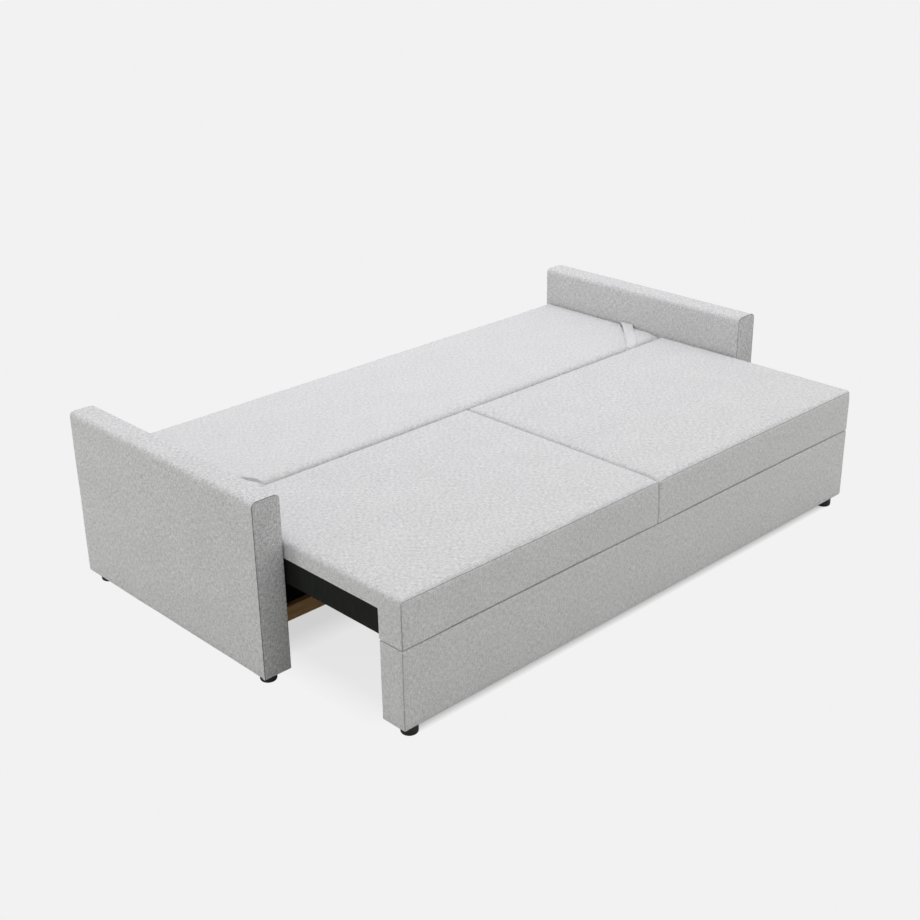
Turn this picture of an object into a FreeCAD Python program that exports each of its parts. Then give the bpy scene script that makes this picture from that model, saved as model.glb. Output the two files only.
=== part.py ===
import FreeCAD, Part
import Sketcher
import math
import os

V = FreeCAD.Vector
ROT = FreeCAD.Rotation
PLACE = FreeCAD.Placement
X_AXIS = V(1, 0, 0)
Y_AXIS = V(0, 1, 0)
Z_AXIS = V(0, 0, 1)

# Sofa bed, shown opened flat: +X along the sofa, +Y to the back, +Z up.
# The origin lies on the floor under the middle of the opened bed.
doc = FreeCAD.newDocument("sofa_bed")

# Driving sizes, in millimetres and degrees
DRIVING_SIZES = [
    ("bed_length", 2000, "clear width between the arms"),
    ("bed_height", 414, "top edge of the cushions above the floor"),
    ("arm_thickness", 90, "width of one arm"),
    ("arm_depth", 915, "front to back of an arm"),
    ("arm_height", 556, "top of an arm above the floor"),
    ("arm_clearance", 25, "underside of an arm above the floor"),
    ("arm_edge_radius", 18, "rounding of an arm's long top edges"),
    ("pull_out", 462, "how far the open seat stands ahead of the arms"),
    ("slide_travel", 460, "travel of the seat from open to closed"),
    ("seat_depth", 791, "front to back of the seat cushions"),
    ("side_gap", 4, "gap between an arm and what moves beside it"),
    ("soft_gap", 0.3, "clearance of upholstery to its neighbours"),
    ("fit_gap", 0.3, "clearance of joinery and rolling pieces"),
    ("padding", 15, "foam and cloth over a frame"),
    ("cloth_skin", 3.5, "cloth with no foam behind it"),
    ("front_padding", 18, "foam and cloth on the seat front"),
    ("arm_front_padding", 12, "thickness of the pad on an arm's front"),
    ("pad_edge_radius", 5, "rounding of a front pad's outline"),
    ("cushion_thickness", 52, "cushion above the seat frame"),
    ("cushion_crown", 9, "rise of a cushion at its middle"),
    ("cushion_end_crown", 3, "rise of a cushion along its ends"),
    ("cushion_edge_radius", 13, "rounding of a cushion's front and end edges"),
    ("cushion_rear_radius", 5, "rounding of a cushion's rear edge"),
    ("cushion_draw", 3, "how far a cushion's side draws in between corners"),
    ("cushion_split", 3, "gap between the two seat cushions"),
    ("front_border", 88, "depth of the seat's front border and fascia"),
    ("border_height", 140, "front border, from the cushions' top edge to its underside"),
    ("fascia_gap", 4, "gap line between border and fascia"),
    ("fascia_clearance", 35, "underside of the fascia above the floor"),
    ("fascia_edge_radius", 6, "rounding of the fascia's edges"),
    ("fascia_back_skin", 8, "rear, top and bottom walls of the fascia cover"),
    ("seat_rail_height", 76, "height of the seat's rails"),
    ("seat_rail_width", 22, "thickness of the side and middle rails"),
    ("cross_rail_width", 28, "thickness of the seat's front and rear rails"),
    ("rail_setback", 8, "rear rail behind the cushions' rear line"),
    ("post_width", 45, "front posts, along the sofa"),
    ("post_depth", 30, "front posts, front to back"),
    ("slat_width", 60, "slat, front to back"),
    ("slat_thickness", 10, "slat height"),
    ("slat_count", 8, "slats under each cushion"),
    ("slat_seat", 10, "length of a slat end held in its rail"),
    ("roller_radius", 22, "seat roller"),
    ("roller_width", 14, "seat roller tread"),
    ("roller_inset", 62, "roller axle ahead of the seat's rear line"),
    ("roller_drop", 12, "roller tread below the side rail"),
    ("roller_bolt_radius", 4, "shank of a roller's bolt"),
    ("roller_head_radius", 7, "head of a roller's bolt"),
    ("roller_head_height", 3, "head of a roller's bolt"),
    ("roller_running_gap", 0.05, "radial clearance on the bolt"),
    ("runner_height", 60, "batten that the rollers ride on"),
    ("runner_width", 50, "batten that the rollers ride on"),
    ("runner_front", 95, "runner behind the arm fronts"),
    ("wood_rail_height", 45, "front and lower rear cross rails"),
    ("wood_rail_width", 20, "front cross rail"),
    ("wood_rail_setback", 100, "front cross rail behind the arm fronts"),
    ("wood_rail_bottom", 103, "underside of the lower cross rails"),
    ("rear_rail_height", 60, "upper rear cross rail"),
    ("rear_rail_gap", 45, "upper rear cross rail below the lowered backrest"),
    ("rear_panel_thickness", 18, "cloth-covered board at the back"),
    ("rear_panel_gap", 28, "board at the back below the lowered backrest"),
    ("rear_panel_setback", 4, "board behind the arms' rear ends"),
    ("floor_thickness", 4, "board that floors the well"),
    ("floor_height", 128, "underside of the well floor"),
    ("groove_depth", 6, "groove that holds the well floor"),
    ("bearer_width", 45, "bearer under the well floor"),
    ("frame_member", 60, "rails and front post of an arm frame"),
    ("pivot_post", 90, "rear post of an arm frame"),
    ("frame_bolt_radius", 4, "bolts that hold the cross rails"),
    ("frame_bolt_grip", 50, "length of a bolt inside its cross rail"),
    ("frame_bolt_head", 7, "radius of a cross rail bolt's head"),
    ("frame_bolt_head_height", 5, "height of a cross rail bolt's head"),
    ("glide_radius", 24, "round glides"),
    ("glide_edge_radius", 7, "rounding at the foot of a glide"),
    ("arm_glide_side", 35, "arm glide in from the outer face"),
    ("arm_glide_front", 34, "front arm glide behind the arm front"),
    ("arm_glide_rear", 60, "rear arm glide ahead of the arm's rear"),
    ("fascia_glide_side", 46, "fascia glide in from the fascia's end"),
    ("fascia_glide_front", 36, "fascia glide behind the fascia front"),
    ("back_thickness", 115, "backrest, upper side to underside"),
    ("back_rise", 4, "lowered backrest above the cushions' edges"),
    ("back_crown", 4, "rise of the backrest's upper side at its middle"),
    ("back_end_gap", 10, "lowered backrest short of the arms' rear ends"),
    ("back_nose_gap", 11, "gap at the backrest's rounded front edge"),
    ("back_nose_radius", 20, "rounding of the backrest's front edge"),
    ("back_edge_radius", 24, "rounding of the backrest's rear edges"),
    ("back_side_radius", 12, "rounding of the backrest's side edges"),
    ("back_draw", 3, "how far the backrest's rear draws in between corners"),
    ("back_end_crown", 1, "rise of the backrest's upper side along its ends"),
    ("back_bevel_angle", 35, "lean of the bevel under the front edge"),
    ("pivot_drop", 54, "backrest pivot below the lowered backrest's upper side"),
    ("back_padding", 22, "foam over the backrest's frame"),
    ("back_side_padding", 26, "foam at the backrest's sides"),
    ("back_frame_front", 86, "backrest frame behind the seat's rear line"),
    ("back_frame_width", 60, "width of the backrest's rails"),
    ("back_stile_width", 45, "width of the backrest's stiles"),
    ("webbing_thickness", 3, "elastic webbing on the backrest frame"),
    ("webbing_width", 60, "elastic webbing on the backrest frame"),
    ("webbing_count", 6, "webbing straps on each side of the middle stile"),
    ("stud_radius", 8, "pivot stud"),
    ("stud_running_gap", 0.05, "radial clearance of the stud in its bush"),
    ("stud_head_radius", 14, "head of a pivot stud"),
    ("stud_head_height", 8, "head of a pivot stud"),
    ("bush_wall", 4, "wall of a pivot bush"),
    ("washer_radius", 18, "washer at a pivot"),
    ("washer_gap", 0.3, "play of a washer on each side"),
    ("bracket_width", 60, "steel arms that carry the lowered backrest"),
    ("bracket_thickness", 5, "steel arms that carry the lowered backrest"),
    ("bracket_reach", 115, "reach of an arm behind the seat"),
    ("bracket_upstand", 55, "height of an arm's screwed leg"),
    ("bracket_place", 640, "outer arms from the middle"),
    ("screw_radius", 3, "bracket screws"),
    ("screw_length", 20, "bracket screws in the rear rail"),
    ("screw_head_radius", 5.5, "bracket screws"),
    ("screw_head_height", 2, "bracket screws"),
    ("screw_pitch", 30, "distance between a bracket's two screws"),
    ("strap_width", 42, "pull strap"),
    ("strap_thickness", 1.6, "pull strap"),
    ("strap_leg", 192, "strap's inner edge from the corner, along each side"),
    ("strap_lift", 1.6, "strap above the backrest's edge height"),
    ("strap_wrap", 60, "turn of the strap's tail round the front edge"),
    ("strap_side_drop", 24, "strap tail beside the backrest"),
    ("corner_dip", 10, "fall of the backrest's corner beyond the strap"),
    ("window_rise", 25, "arm frame window above the runner"),
    ("screw_row", 30, "bracket screws above the arm's underside"),
    ("overrun", 1, "how far a cutting shape passes a face"),
]

# Places worked out from the driving sizes
DERIVED_PLACES = [
    ("arm_front", "(dims.pull_out - dims.arm_depth) / 2"),
    ("arm_rear", "arm_front + dims.arm_depth"),
    ("arm_inner", "dims.bed_length / 2"),
    ("arm_outer", "arm_inner + dims.arm_thickness"),
    ("seat_front", "arm_front - dims.pull_out"),
    ("seat_rear", "seat_front + dims.seat_depth"),
    ("seat_side", "arm_inner - dims.side_gap"),
    ("cushion_bottom", "dims.bed_height - dims.cushion_thickness"),
    ("rail_top", "cushion_bottom - dims.soft_gap"),
    ("rail_bottom", "rail_top - dims.seat_rail_height"),
    ("rail_side", "seat_side - dims.cloth_skin - dims.soft_gap"),
    ("rail_inside", "rail_side - dims.seat_rail_width"),
    ("front_rail_face", "seat_front + dims.front_padding"),
    ("front_rail_back", "front_rail_face + dims.cross_rail_width"),
    ("rear_rail_back", "seat_rear - dims.rail_setback"),
    ("rear_rail_face", "rear_rail_back - dims.cross_rail_width"),
    ("border_back", "seat_front + dims.front_border"),
    ("post_back", "front_rail_back + dims.post_depth"),
    ("post_inside", "rail_inside - dims.post_width"),
    ("border_bottom", "dims.bed_height - dims.border_height"),
    ("fascia_top", "border_bottom - dims.fascia_gap"),
    ("fascia_floor", "dims.fascia_clearance + dims.fascia_back_skin"),
    ("fascia_roof", "fascia_top - dims.fascia_back_skin"),
    ("fascia_inside", "seat_side - dims.padding"),
    ("fascia_rail_top", "fascia_floor + dims.post_width"),
    ("cover_inner_wall", "arm_inner + dims.padding"),
    ("cover_outer_wall", "arm_outer - dims.padding"),
    ("frame_front", "arm_front + dims.arm_front_padding"),
    ("frame_rear", "arm_rear - dims.padding"),
    ("frame_top", "dims.arm_height - dims.padding"),
    ("runner_top", "rail_bottom - dims.roller_drop - dims.fit_gap"),
    ("runner_bottom", "runner_top - dims.runner_height"),
    ("runner_start", "arm_front + dims.runner_front"),
    ("runner_inside", "arm_inner - dims.runner_width"),
    ("roller_height", "rail_bottom - dims.roller_drop + dims.roller_radius"),
    ("roller_place", "seat_rear - dims.roller_inset"),
    ("roller_outside", "rail_inside - dims.fit_gap"),
    ("wood_rail_face", "arm_front + dims.wood_rail_setback"),
    ("wood_rail_back", "wood_rail_face + dims.wood_rail_width"),
    ("panel_back", "arm_rear - dims.rear_panel_setback"),
    ("panel_face", "panel_back - dims.rear_panel_thickness"),
    ("back_cross_face", "panel_face - dims.cross_rail_width"),
    ("runner_end", "back_cross_face - dims.fit_gap"),
    ("well_half", "arm_inner - dims.soft_gap"),
    ("back_side", "seat_side"),
    ("back_top", "dims.bed_height + dims.back_rise"),
    ("back_underside", "back_top - dims.back_thickness"),
    ("pivot_height", "back_top - dims.pivot_drop"),
    ("rear_panel_top", "back_underside - dims.rear_panel_gap"),
    ("rear_rail_top", "back_underside - dims.rear_rail_gap"),
    ("back_rear", "arm_rear - dims.back_end_gap"),
    ("back_nose", "seat_rear + dims.back_nose_gap"),
    ("pivot_place", "arm_rear - dims.pivot_drop - dims.rear_panel_setback"),
    ("back_hollow_front", "seat_rear + dims.back_frame_front"),
    ("back_hollow_rear", "back_rear - dims.back_side_padding"),
    ("back_hollow_side", "back_side - dims.back_side_padding"),
    ("back_hollow_bottom", "back_underside + dims.back_padding"),
    ("back_hollow_top", "back_top - dims.back_padding"),
    ("back_frame_top", "back_hollow_top - dims.webbing_thickness - dims.fit_gap"),
    ("bracket_top", "back_underside - dims.soft_gap"),
    ("bracket_bottom", "bracket_top - dims.bracket_thickness"),
    ("seat_middle", "(seat_side + dims.cushion_split / 2) / 2"),
    ("skin_back", "front_rail_face - dims.soft_gap"),
    ("skin_side", "rail_side + dims.soft_gap"),
    ("slat_pitch", "(rear_rail_face - post_back) / dims.slat_count"),
    ("slat_bottom", "rail_top - dims.slat_thickness"),
    ("half_post", "dims.post_width / 2"),
    ("slat_inner_end", "half_post - dims.slat_seat"),
    ("slat_outer_end", "rail_inside + dims.slat_seat"),
    ("stud_end", "back_hollow_side - dims.back_stile_width"),
    ("bush_radius", "dims.stud_radius + dims.bush_wall"),
    ("bolt_end", "well_half - dims.frame_bolt_grip"),
    ("lower_rail_top", "dims.wood_rail_bottom + dims.wood_rail_height"),
    ("lower_rail_middle", "dims.wood_rail_bottom + dims.wood_rail_height / 2"),
    ("upper_rail_bottom", "rear_rail_top - dims.rear_rail_height"),
    ("upper_rail_middle", "rear_rail_top - dims.rear_rail_height / 2"),
    ("front_rail_middle", "wood_rail_face + dims.wood_rail_width / 2"),
    ("rear_rail_middle", "back_cross_face + dims.cross_rail_width / 2"),
    ("floor_top", "dims.floor_height + dims.floor_thickness"),
    ("roller_inside", "roller_outside - dims.roller_width"),
    ("nut_outside", "roller_inside - dims.fit_gap"),
    ("nut_inside", "nut_outside - dims.roller_head_height"),
    ("webbing_pitch", "(stud_end - half_post) / dims.webbing_count"),
    ("nose_middle", "back_nose + dims.back_nose_radius"),
    ("nose_height", "back_top - dims.back_nose_radius"),
    ("bevel_start_y", "nose_middle - dims.back_nose_radius * cos(dims.back_bevel_angle * 1 deg)"),
    ("bevel_start_z", "nose_height - dims.back_nose_radius * sin(dims.back_bevel_angle * 1 deg)"),
    ("bevel_height", "bevel_start_z - back_underside"),
    ("bevel_foot", "bevel_start_y + bevel_height * tan(dims.back_bevel_angle * 1 deg)"),
    ("back_front_rail_back", "back_hollow_front + dims.back_frame_width"),
    ("back_rear_rail_face", "back_hollow_rear - dims.back_frame_width"),
    ("strap_outer_leg", "dims.strap_leg - dims.strap_width * sqrt(2)"),
    ("strap_bottom", "back_top + dims.strap_lift"),
    ("strap_top", "strap_bottom + dims.strap_thickness"),
    ("strap_side", "back_side + dims.soft_gap + dims.strap_thickness"),
    ("strap_ring_inner", "dims.back_nose_radius + dims.strap_lift"),
    ("strap_ring_outer", "strap_ring_inner + dims.strap_thickness"),
]

ALPHABET = "ABCDEFGHIJKLMNOPQRSTUVWXYZ"


def cell_name(column, row):
    return ALPHABET[column] + str(row)


dims = doc.addObject("Spreadsheet::Sheet", "dims")
for row, (alias, size, note) in enumerate(DRIVING_SIZES, start=1):
    dims.set(cell_name(0, row), str(size))
    dims.setAlias(cell_name(0, row), alias)
    dims.set(cell_name(1, row), note)
doc.recompute()

places = doc.addObject("Spreadsheet::Sheet", "places")
for row, (alias, rule) in enumerate(DERIVED_PLACES, start=1):
    places.set(cell_name(0, row), "=" + rule)
    places.setAlias(cell_name(0, row), alias)
    doc.recompute()


def size(alias):
    return float(dims.get(alias))


def place(alias):
    return float(places.get(alias))


SIDES = [("left", -1), ("right", 1)]
SUBPARTS = []
NEAR = size("fit_gap") / 10


# Builders shared by the sub-parts
def keep(label, obj):
    """Name an object as a sub-part."""
    obj.Label = label
    SUBPARTS.append(obj)
    return obj


def box(name, low, high):
    """A box between two corners, each given as three rules."""
    obj = doc.addObject("Part::Box", name)
    for side, start, end in zip(("Length", "Width", "Height"), low, high):
        obj.setExpression(side, f"({end}) - ({start})")
    for axis, start in zip("xyz", low):
        obj.setExpression("Placement.Base." + axis, start)
    return obj


def side_box(name, side, inner, outer, low, high):
    """A box on the left (-1) or right (+1), from inner to outer, with (y, z) corners."""
    if side > 0:
        return box(name, (inner,) + low, (outer,) + high)
    return box(name, (f"-({outer})",) + low, (f"-({inner})",) + high)


def rod(name, radius, length, start, direction):
    """A cylinder that starts at a point, given as three rules, and runs along an axis."""
    obj = doc.addObject("Part::Cylinder", name)
    obj.setExpression("Radius", radius)
    obj.setExpression("Height", length)
    obj.Placement = PLACE(V(0, 0, 0), ROT(Z_AXIS, direction))
    for axis, rule in zip("xyz", start):
        obj.setExpression("Placement.Base." + axis, rule)
    return obj


def join(name, pieces):
    obj = doc.addObject("Part::MultiFuse", name)
    obj.Shapes = pieces
    return obj


def group(name, pieces):
    """Separate solids kept under one name."""
    obj = doc.addObject("Part::Compound", name)
    obj.Links = pieces
    return obj


def cut(name, base, tools):
    obj = doc.addObject("Part::Cut", name)
    obj.Base = base
    obj.Tool = tools[0] if len(tools) == 1 else join(name + "_tools", tools)
    return obj


def axis_plane(body, role):
    return next(f for f in body.Origin.OriginFeatures if f.Role == role)

# A sheet that nothing depends on, for reading what a rule comes to
probe = doc.addObject("Spreadsheet::Sheet", "probe")


def value(rule):
    probe.set("A1", "=" + rule)
    probe.recompute()
    return float(probe.get("A1"))


def crown_radius(chord, rise):
    """Radius of the arc that rises so far over its chord."""
    return f"(({chord})^2 / 4 + ({rise})^2) / (2 * ({rise}))"


def arc_between(start, end, radius):
    """An arc of less than half a circle, turning left from start to end."""
    chord = end - start
    middle = (start + end) * 0.5
    left = V(-chord.y, chord.x, 0).normalize()
    centre = middle + left * math.sqrt(radius ** 2 - (chord.Length / 2) ** 2)
    angles = [math.atan2(p.y - centre.y, p.x - centre.x) for p in (start, end)]
    if angles[1] < angles[0]:
        angles[1] += 2 * math.pi
    return Part.ArcOfCircle(Part.Circle(centre, Z_AXIS, radius), angles[0], angles[1])


def outline(body, name, role, corners, station=None):
    """A closed sketch through corners (across, up, radius); a radius makes the next edge an arc."""
    sketch = body.newObject("Sketcher::SketchObject", name)
    sketch.AttachmentSupport = [(axis_plane(body, role), "")]
    sketch.MapMode = "FlatFace"
    if station:
        sketch.setExpression("AttachmentOffset.Base.z", station)
    count = len(corners)
    spots = [V(value(across), value(up), 0) for across, up, radius in corners]
    for k, (across, up, radius) in enumerate(corners):
        start = spots[k]
        end = spots[(k + 1) % count]
        edge = arc_between(start, end, value(radius)) if radius else Part.LineSegment(start, end)
        sketch.addGeometry(edge, False)
    for k in range(count):
        sketch.addConstraint(Sketcher.Constraint("Coincident", k, 2, (k + 1) % count, 1))
    for k, (across, up, radius) in enumerate(corners):
        for kind, rule, number in (("DistanceX", across, spots[k].x), ("DistanceY", up, spots[k].y)):
            held = sketch.addConstraint(Sketcher.Constraint(kind, -1, 1, k, 1, number))
            sketch.setExpression(f"Constraints[{held}]", rule)
        if radius:
            held = sketch.addConstraint(Sketcher.Constraint("Radius", k, value(radius)))
            sketch.setExpression(f"Constraints[{held}]", radius)
    return sketch


def new_body(name):
    return doc.addObject("PartDesign::Body", name)


def body_box(body, name, low, high, cutting=False):
    """A box added to a body, or cut from it, between two corners given as rules."""
    obj = body.newObject("PartDesign::SubtractiveBox" if cutting else "PartDesign::AdditiveBox", name)
    for side, start, end in zip(("Length", "Width", "Height"), low, high):
        obj.setExpression(side, f"({end}) - ({start})")
    for axis, start in zip("xyz", low):
        obj.setExpression("Placement.Base." + axis, start)
    return obj


def body_hole(body, name, radius, length, start, direction):
    """A round hole cut in a body from a point, along an axis."""
    obj = body.newObject("PartDesign::SubtractiveCylinder", name)
    obj.setExpression("Radius", radius)
    obj.setExpression("Height", length)
    obj.Placement = PLACE(V(0, 0, 0), ROT(Z_AXIS, direction))
    for axis, rule in zip("xyz", start):
        obj.setExpression("Placement.Base." + axis, rule)
    return obj


def body_fillet(body, name, feature, radius, test):
    """Rounds those edges of a body's feature that pass a test."""
    doc.recompute()
    edges = [f"Edge{k}" for k, edge in enumerate(feature.Shape.Edges, start=1) if test(edge)]
    obj = body.newObject("PartDesign::Fillet", name)
    obj.Base = (feature, edges)
    obj.setExpression("Radius", radius)
    return obj


def ends(edge, axis):
    """Where an edge starts and ends along an axis."""
    spots = [getattr(vertex.Point, axis) for vertex in edge.Vertexes]
    return min(spots), max(spots)


def lies_at(edge, axis, spot):
    """True for an edge whose ends both lie at one place along an axis."""
    low, high = ends(edge, axis)
    return abs(low - spot) < NEAR and abs(high - spot) < NEAR


def runs_along(edge, axis):
    """True for an edge that keeps its place along the two other axes."""
    low, high = ends(edge, axis)
    others = [ends(edge, other) for other in "xyz" if other != axis]
    return high - low > NEAR and all(b - a < NEAR for a, b in others)


def mirrored(side, rule):
    return rule if side > 0 else f"-({rule})"


def span(side, inner, outer):
    """Start and end rules across the sofa, on the left (-1) or the right (+1)."""
    return (inner, outer) if side > 0 else (f"-({outer})", f"-({inner})")


def outward(side):
    return V(side, 0, 0)


def across_rod(name, side, radius, inner, outer, y, z):
    """A rod across the sofa on one side, from inner to outer."""
    return rod(name, radius, f"({outer}) - ({inner})", (mirrored(side, inner), y, z), outward(side))


def across_hole(body, name, side, radius, inner, outer, y, z):
    start = (mirrored(side, inner), y, z)
    return body_hole(body, name, radius, f"({outer}) - ({inner})", start, outward(side))


# Where each side's bolts and its pivot stud cross the arm: name, place and height
BOLT_ROWS = [
    ("front", "places.front_rail_middle", "places.lower_rail_middle"),
    ("rear_lower", "places.rear_rail_middle", "places.lower_rail_middle"),
    ("rear_upper", "places.rear_rail_middle", "places.upper_rail_middle"),
]


# Arms
def arm_frame(side_name, side):
    body = new_body("arm_frame_" + side_name)
    inner, outer = "places.cover_inner_wall", "places.cover_outer_wall"
    low, high = span(side, inner, outer)
    front, rear = "places.frame_front", "places.frame_rear"
    bottom, top = "dims.arm_clearance", "places.frame_top"
    board = outline(body, "arm_frame_outline_" + side_name, "YZ_Plane", [
        (front, bottom, None), (rear, bottom, None), (rear, top, None), (front, top, None)], low)
    pad = body.newObject("PartDesign::Pad", "arm_frame_board_" + side_name)
    pad.Profile = board
    pad.setExpression("Length", f"({outer}) - ({inner})")
    window_front = front + " + dims.frame_member"
    window_rear = rear + " - dims.pivot_post"
    window_bottom = "places.runner_top + dims.window_rise"
    window_top = top + " - dims.frame_member"
    body_box(body, "arm_frame_window_" + side_name,
             (low + " - dims.overrun", window_front, window_bottom),
             (high + " + dims.overrun", window_rear, window_top), True)
    for name, y, z in BOLT_ROWS:
        across_hole(body, f"arm_frame_{name}_hole_{side_name}", side, "dims.frame_bolt_radius",
                    inner, outer, y, z)
        across_hole(body, f"arm_frame_{name}_recess_{side_name}", side, "dims.frame_bolt_head",
                    outer + " - dims.frame_bolt_head_height", outer, y, z)
    y, z = "places.pivot_place", "places.pivot_height"
    across_hole(body, "arm_frame_stud_hole_" + side_name, side, "dims.stud_radius", inner, outer, y, z)
    across_hole(body, "arm_frame_stud_recess_" + side_name, side, "dims.stud_head_radius",
                outer + " - dims.stud_head_height", outer, y, z)
    return keep("arm_frame_" + side_name, body)


def arm_cover(side_name, side):
    body = new_body("arm_cover_" + side_name)
    low, high = span(side, "places.arm_inner", "places.arm_outer")
    front, rear = "places.frame_front", "places.arm_rear"
    bottom, top = "dims.arm_clearance", "dims.arm_height"
    slab = body_box(body, "arm_cover_slab_" + side_name, (low, front, bottom), (high, rear, top))
    rounded = body_fillet(body, "arm_cover_edges_" + side_name, slab, "dims.arm_edge_radius",
                          lambda edge: runs_along(edge, "y") and lies_at(edge, "z", value(top)))
    low, high = span(side, "places.cover_inner_wall", "places.cover_outer_wall")
    body_box(body, "arm_cover_hollow_" + side_name,
             (low, front + " - dims.overrun", bottom + " - dims.overrun"),
             (high, "places.frame_rear", "places.frame_top"), True)
    for name, y, z in BOLT_ROWS:
        across_hole(body, f"arm_cover_{name}_hole_{side_name}", side, "dims.frame_bolt_radius",
                    "places.arm_inner - dims.overrun", "places.cover_inner_wall + dims.overrun", y, z)
    across_hole(body, "arm_cover_stud_hole_" + side_name, side, "dims.stud_radius",
                "places.arm_inner - dims.overrun", "places.cover_inner_wall + dims.overrun",
                "places.pivot_place", "places.pivot_height")
    return keep("arm_cover_" + side_name, body)


def arm_front_pad(side_name, side):
    body = new_body("arm_front_pad_" + side_name)
    low, high = span(side, "places.arm_inner", "places.arm_outer")
    slab = body_box(body, "arm_front_pad_slab_" + side_name,
                    (low, "places.arm_front", "dims.arm_clearance"),
                    (high, "places.frame_front", "dims.arm_height"))
    corners = body_fillet(body, "arm_front_pad_corners_" + side_name, slab, "dims.arm_edge_radius",
                          lambda edge: runs_along(edge, "y") and lies_at(edge, "z", size("arm_height")))
    body_fillet(body, "arm_front_pad_edges_" + side_name, corners, "dims.pad_edge_radius",
                lambda edge: lies_at(edge, "y", place("arm_front")))
    return keep("arm_front_pad_" + side_name, body)


def glide(label, x, y, height):
    """A round foot with a rounded lower edge."""
    body = new_body(label)
    disc = body.newObject("PartDesign::AdditiveCylinder", label + "_disc")
    disc.setExpression("Radius", "dims.glide_radius")
    disc.setExpression("Height", height)
    body_fillet(body, label + "_edge", disc, "dims.glide_edge_radius",
                lambda edge: lies_at(edge, "z", 0) and edge.Length > size("glide_radius"))
    for axis, rule in zip("xyz", (x, y, "0")):
        body.setExpression("Placement.Base." + axis, rule)
    return keep(label, body)


for side_name, side in SIDES:
    arm_frame(side_name, side)
    arm_cover(side_name, side)
    arm_front_pad(side_name, side)
    x = mirrored(side, "places.arm_outer - dims.arm_glide_side")
    for name, y in (("front", "places.arm_front + dims.arm_glide_front"),
                    ("rear", "places.arm_rear - dims.arm_glide_rear")):
        glide(f"arm_glide_{name}_{side_name}", x, y, "dims.arm_clearance")


# Cross rails, well floor, rear panel and runners
def bolt_sockets(name, row):
    """The holes for a cross rail's bolts, one at each end."""
    y, z = BOLT_ROWS[row][1:]
    return [across_rod(f"{name}_socket_{side_name}", side, "dims.frame_bolt_radius",
                       "places.bolt_end", "places.well_half + dims.overrun", y, z)
            for side_name, side in SIDES]


def cross_rail(label, row, face, back, bottom, top, groove=None):
    base = box(label + "_bar", ("-places.well_half", face, bottom), ("places.well_half", back, top))
    tools = bolt_sockets(label, row)
    if groove:
        low = ("-places.well_half - dims.overrun", groove[0], "dims.floor_height")
        high = ("places.well_half + dims.overrun", groove[1], "places.floor_top")
        tools.append(box(label + "_groove", low, high))
    return keep(label, cut(label, base, tools))


cross_rail("front_cross_rail", 0, "places.wood_rail_face", "places.wood_rail_back",
           "dims.wood_rail_bottom", "places.lower_rail_top",
           ("places.wood_rail_back - dims.groove_depth", "places.wood_rail_back + dims.overrun"))
cross_rail("rear_cross_rail_lower", 1, "places.back_cross_face", "places.panel_face",
           "dims.wood_rail_bottom", "places.lower_rail_top",
           ("places.back_cross_face - dims.overrun", "places.back_cross_face + dims.groove_depth"))
cross_rail("rear_cross_rail_upper", 2, "places.back_cross_face", "places.panel_face",
           "places.upper_rail_bottom", "places.rear_rail_top")
keep("rear_panel", box("rear_panel",
     ("-places.well_half", "places.panel_face", "dims.fascia_clearance"),
     ("places.well_half", "places.panel_back", "places.rear_panel_top")))
keep("well_floor", box("well_floor",
     ("-places.well_half", "places.wood_rail_back - dims.groove_depth", "dims.floor_height"),
     ("places.well_half", "places.back_cross_face + dims.groove_depth", "places.floor_top")))
keep("floor_bearer", box("floor_bearer",
     ("-dims.bearer_width / 2", "places.wood_rail_back", "dims.wood_rail_bottom"),
     ("dims.bearer_width / 2", "places.back_cross_face", "dims.floor_height")))

bolts = []
washers = []
for side_name, side in SIDES:
    keep("runner_" + side_name, side_box(
        "runner_" + side_name, side, "places.runner_inside", "places.well_half",
        ("places.runner_start", "places.runner_bottom"), ("places.runner_end", "places.runner_top")))
    y, z = "places.pivot_place", "places.pivot_height"
    shank = across_rod("pivot_stud_shank_" + side_name, side, "dims.stud_radius",
                       "places.stud_end", "places.cover_outer_wall", y, z)
    head = across_rod("pivot_stud_head_" + side_name, side, "dims.stud_head_radius",
                      "places.cover_outer_wall - dims.stud_head_height", "places.cover_outer_wall", y, z)
    keep("pivot_stud_" + side_name, join("pivot_stud_" + side_name, [shank, head]))
    inner, outer = "places.back_side + dims.washer_gap", "places.arm_inner - dims.washer_gap"
    disc = across_rod("washer_disc_" + side_name, side, "dims.washer_radius", inner, outer, y, z)
    bore = across_rod("washer_bore_" + side_name, side, "dims.stud_radius + dims.stud_running_gap",
                      inner + " - dims.overrun", outer + " + dims.overrun", y, z)
    washers.append(cut("washer_" + side_name, disc, [bore]))
    for name, y, z in BOLT_ROWS:
        shank = across_rod(f"bolt_shank_{name}_{side_name}", side, "dims.frame_bolt_radius",
                           "places.bolt_end", "places.cover_outer_wall", y, z)
        head = across_rod(f"bolt_head_{name}_{side_name}", side, "dims.frame_bolt_head",
                          "places.cover_outer_wall - dims.frame_bolt_head_height",
                          "places.cover_outer_wall", y, z)
        bolts.append(join(f"bolt_{name}_{side_name}", [shank, head]))
keep("frame_bolts", group("frame_bolts", bolts))
keep("pivot_washers", group("pivot_washers", washers))


def soft_loft(body, name, sections, side):
    """A smooth body through sections that are given from the middle outward."""
    if side > 0:
        sections = sections[::-1]
    loft = body.newObject("PartDesign::AdditiveLoft", name)
    loft.Profile = sections[0]
    loft.Sections = sections[1:]
    doc.recompute()
    return loft


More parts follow.
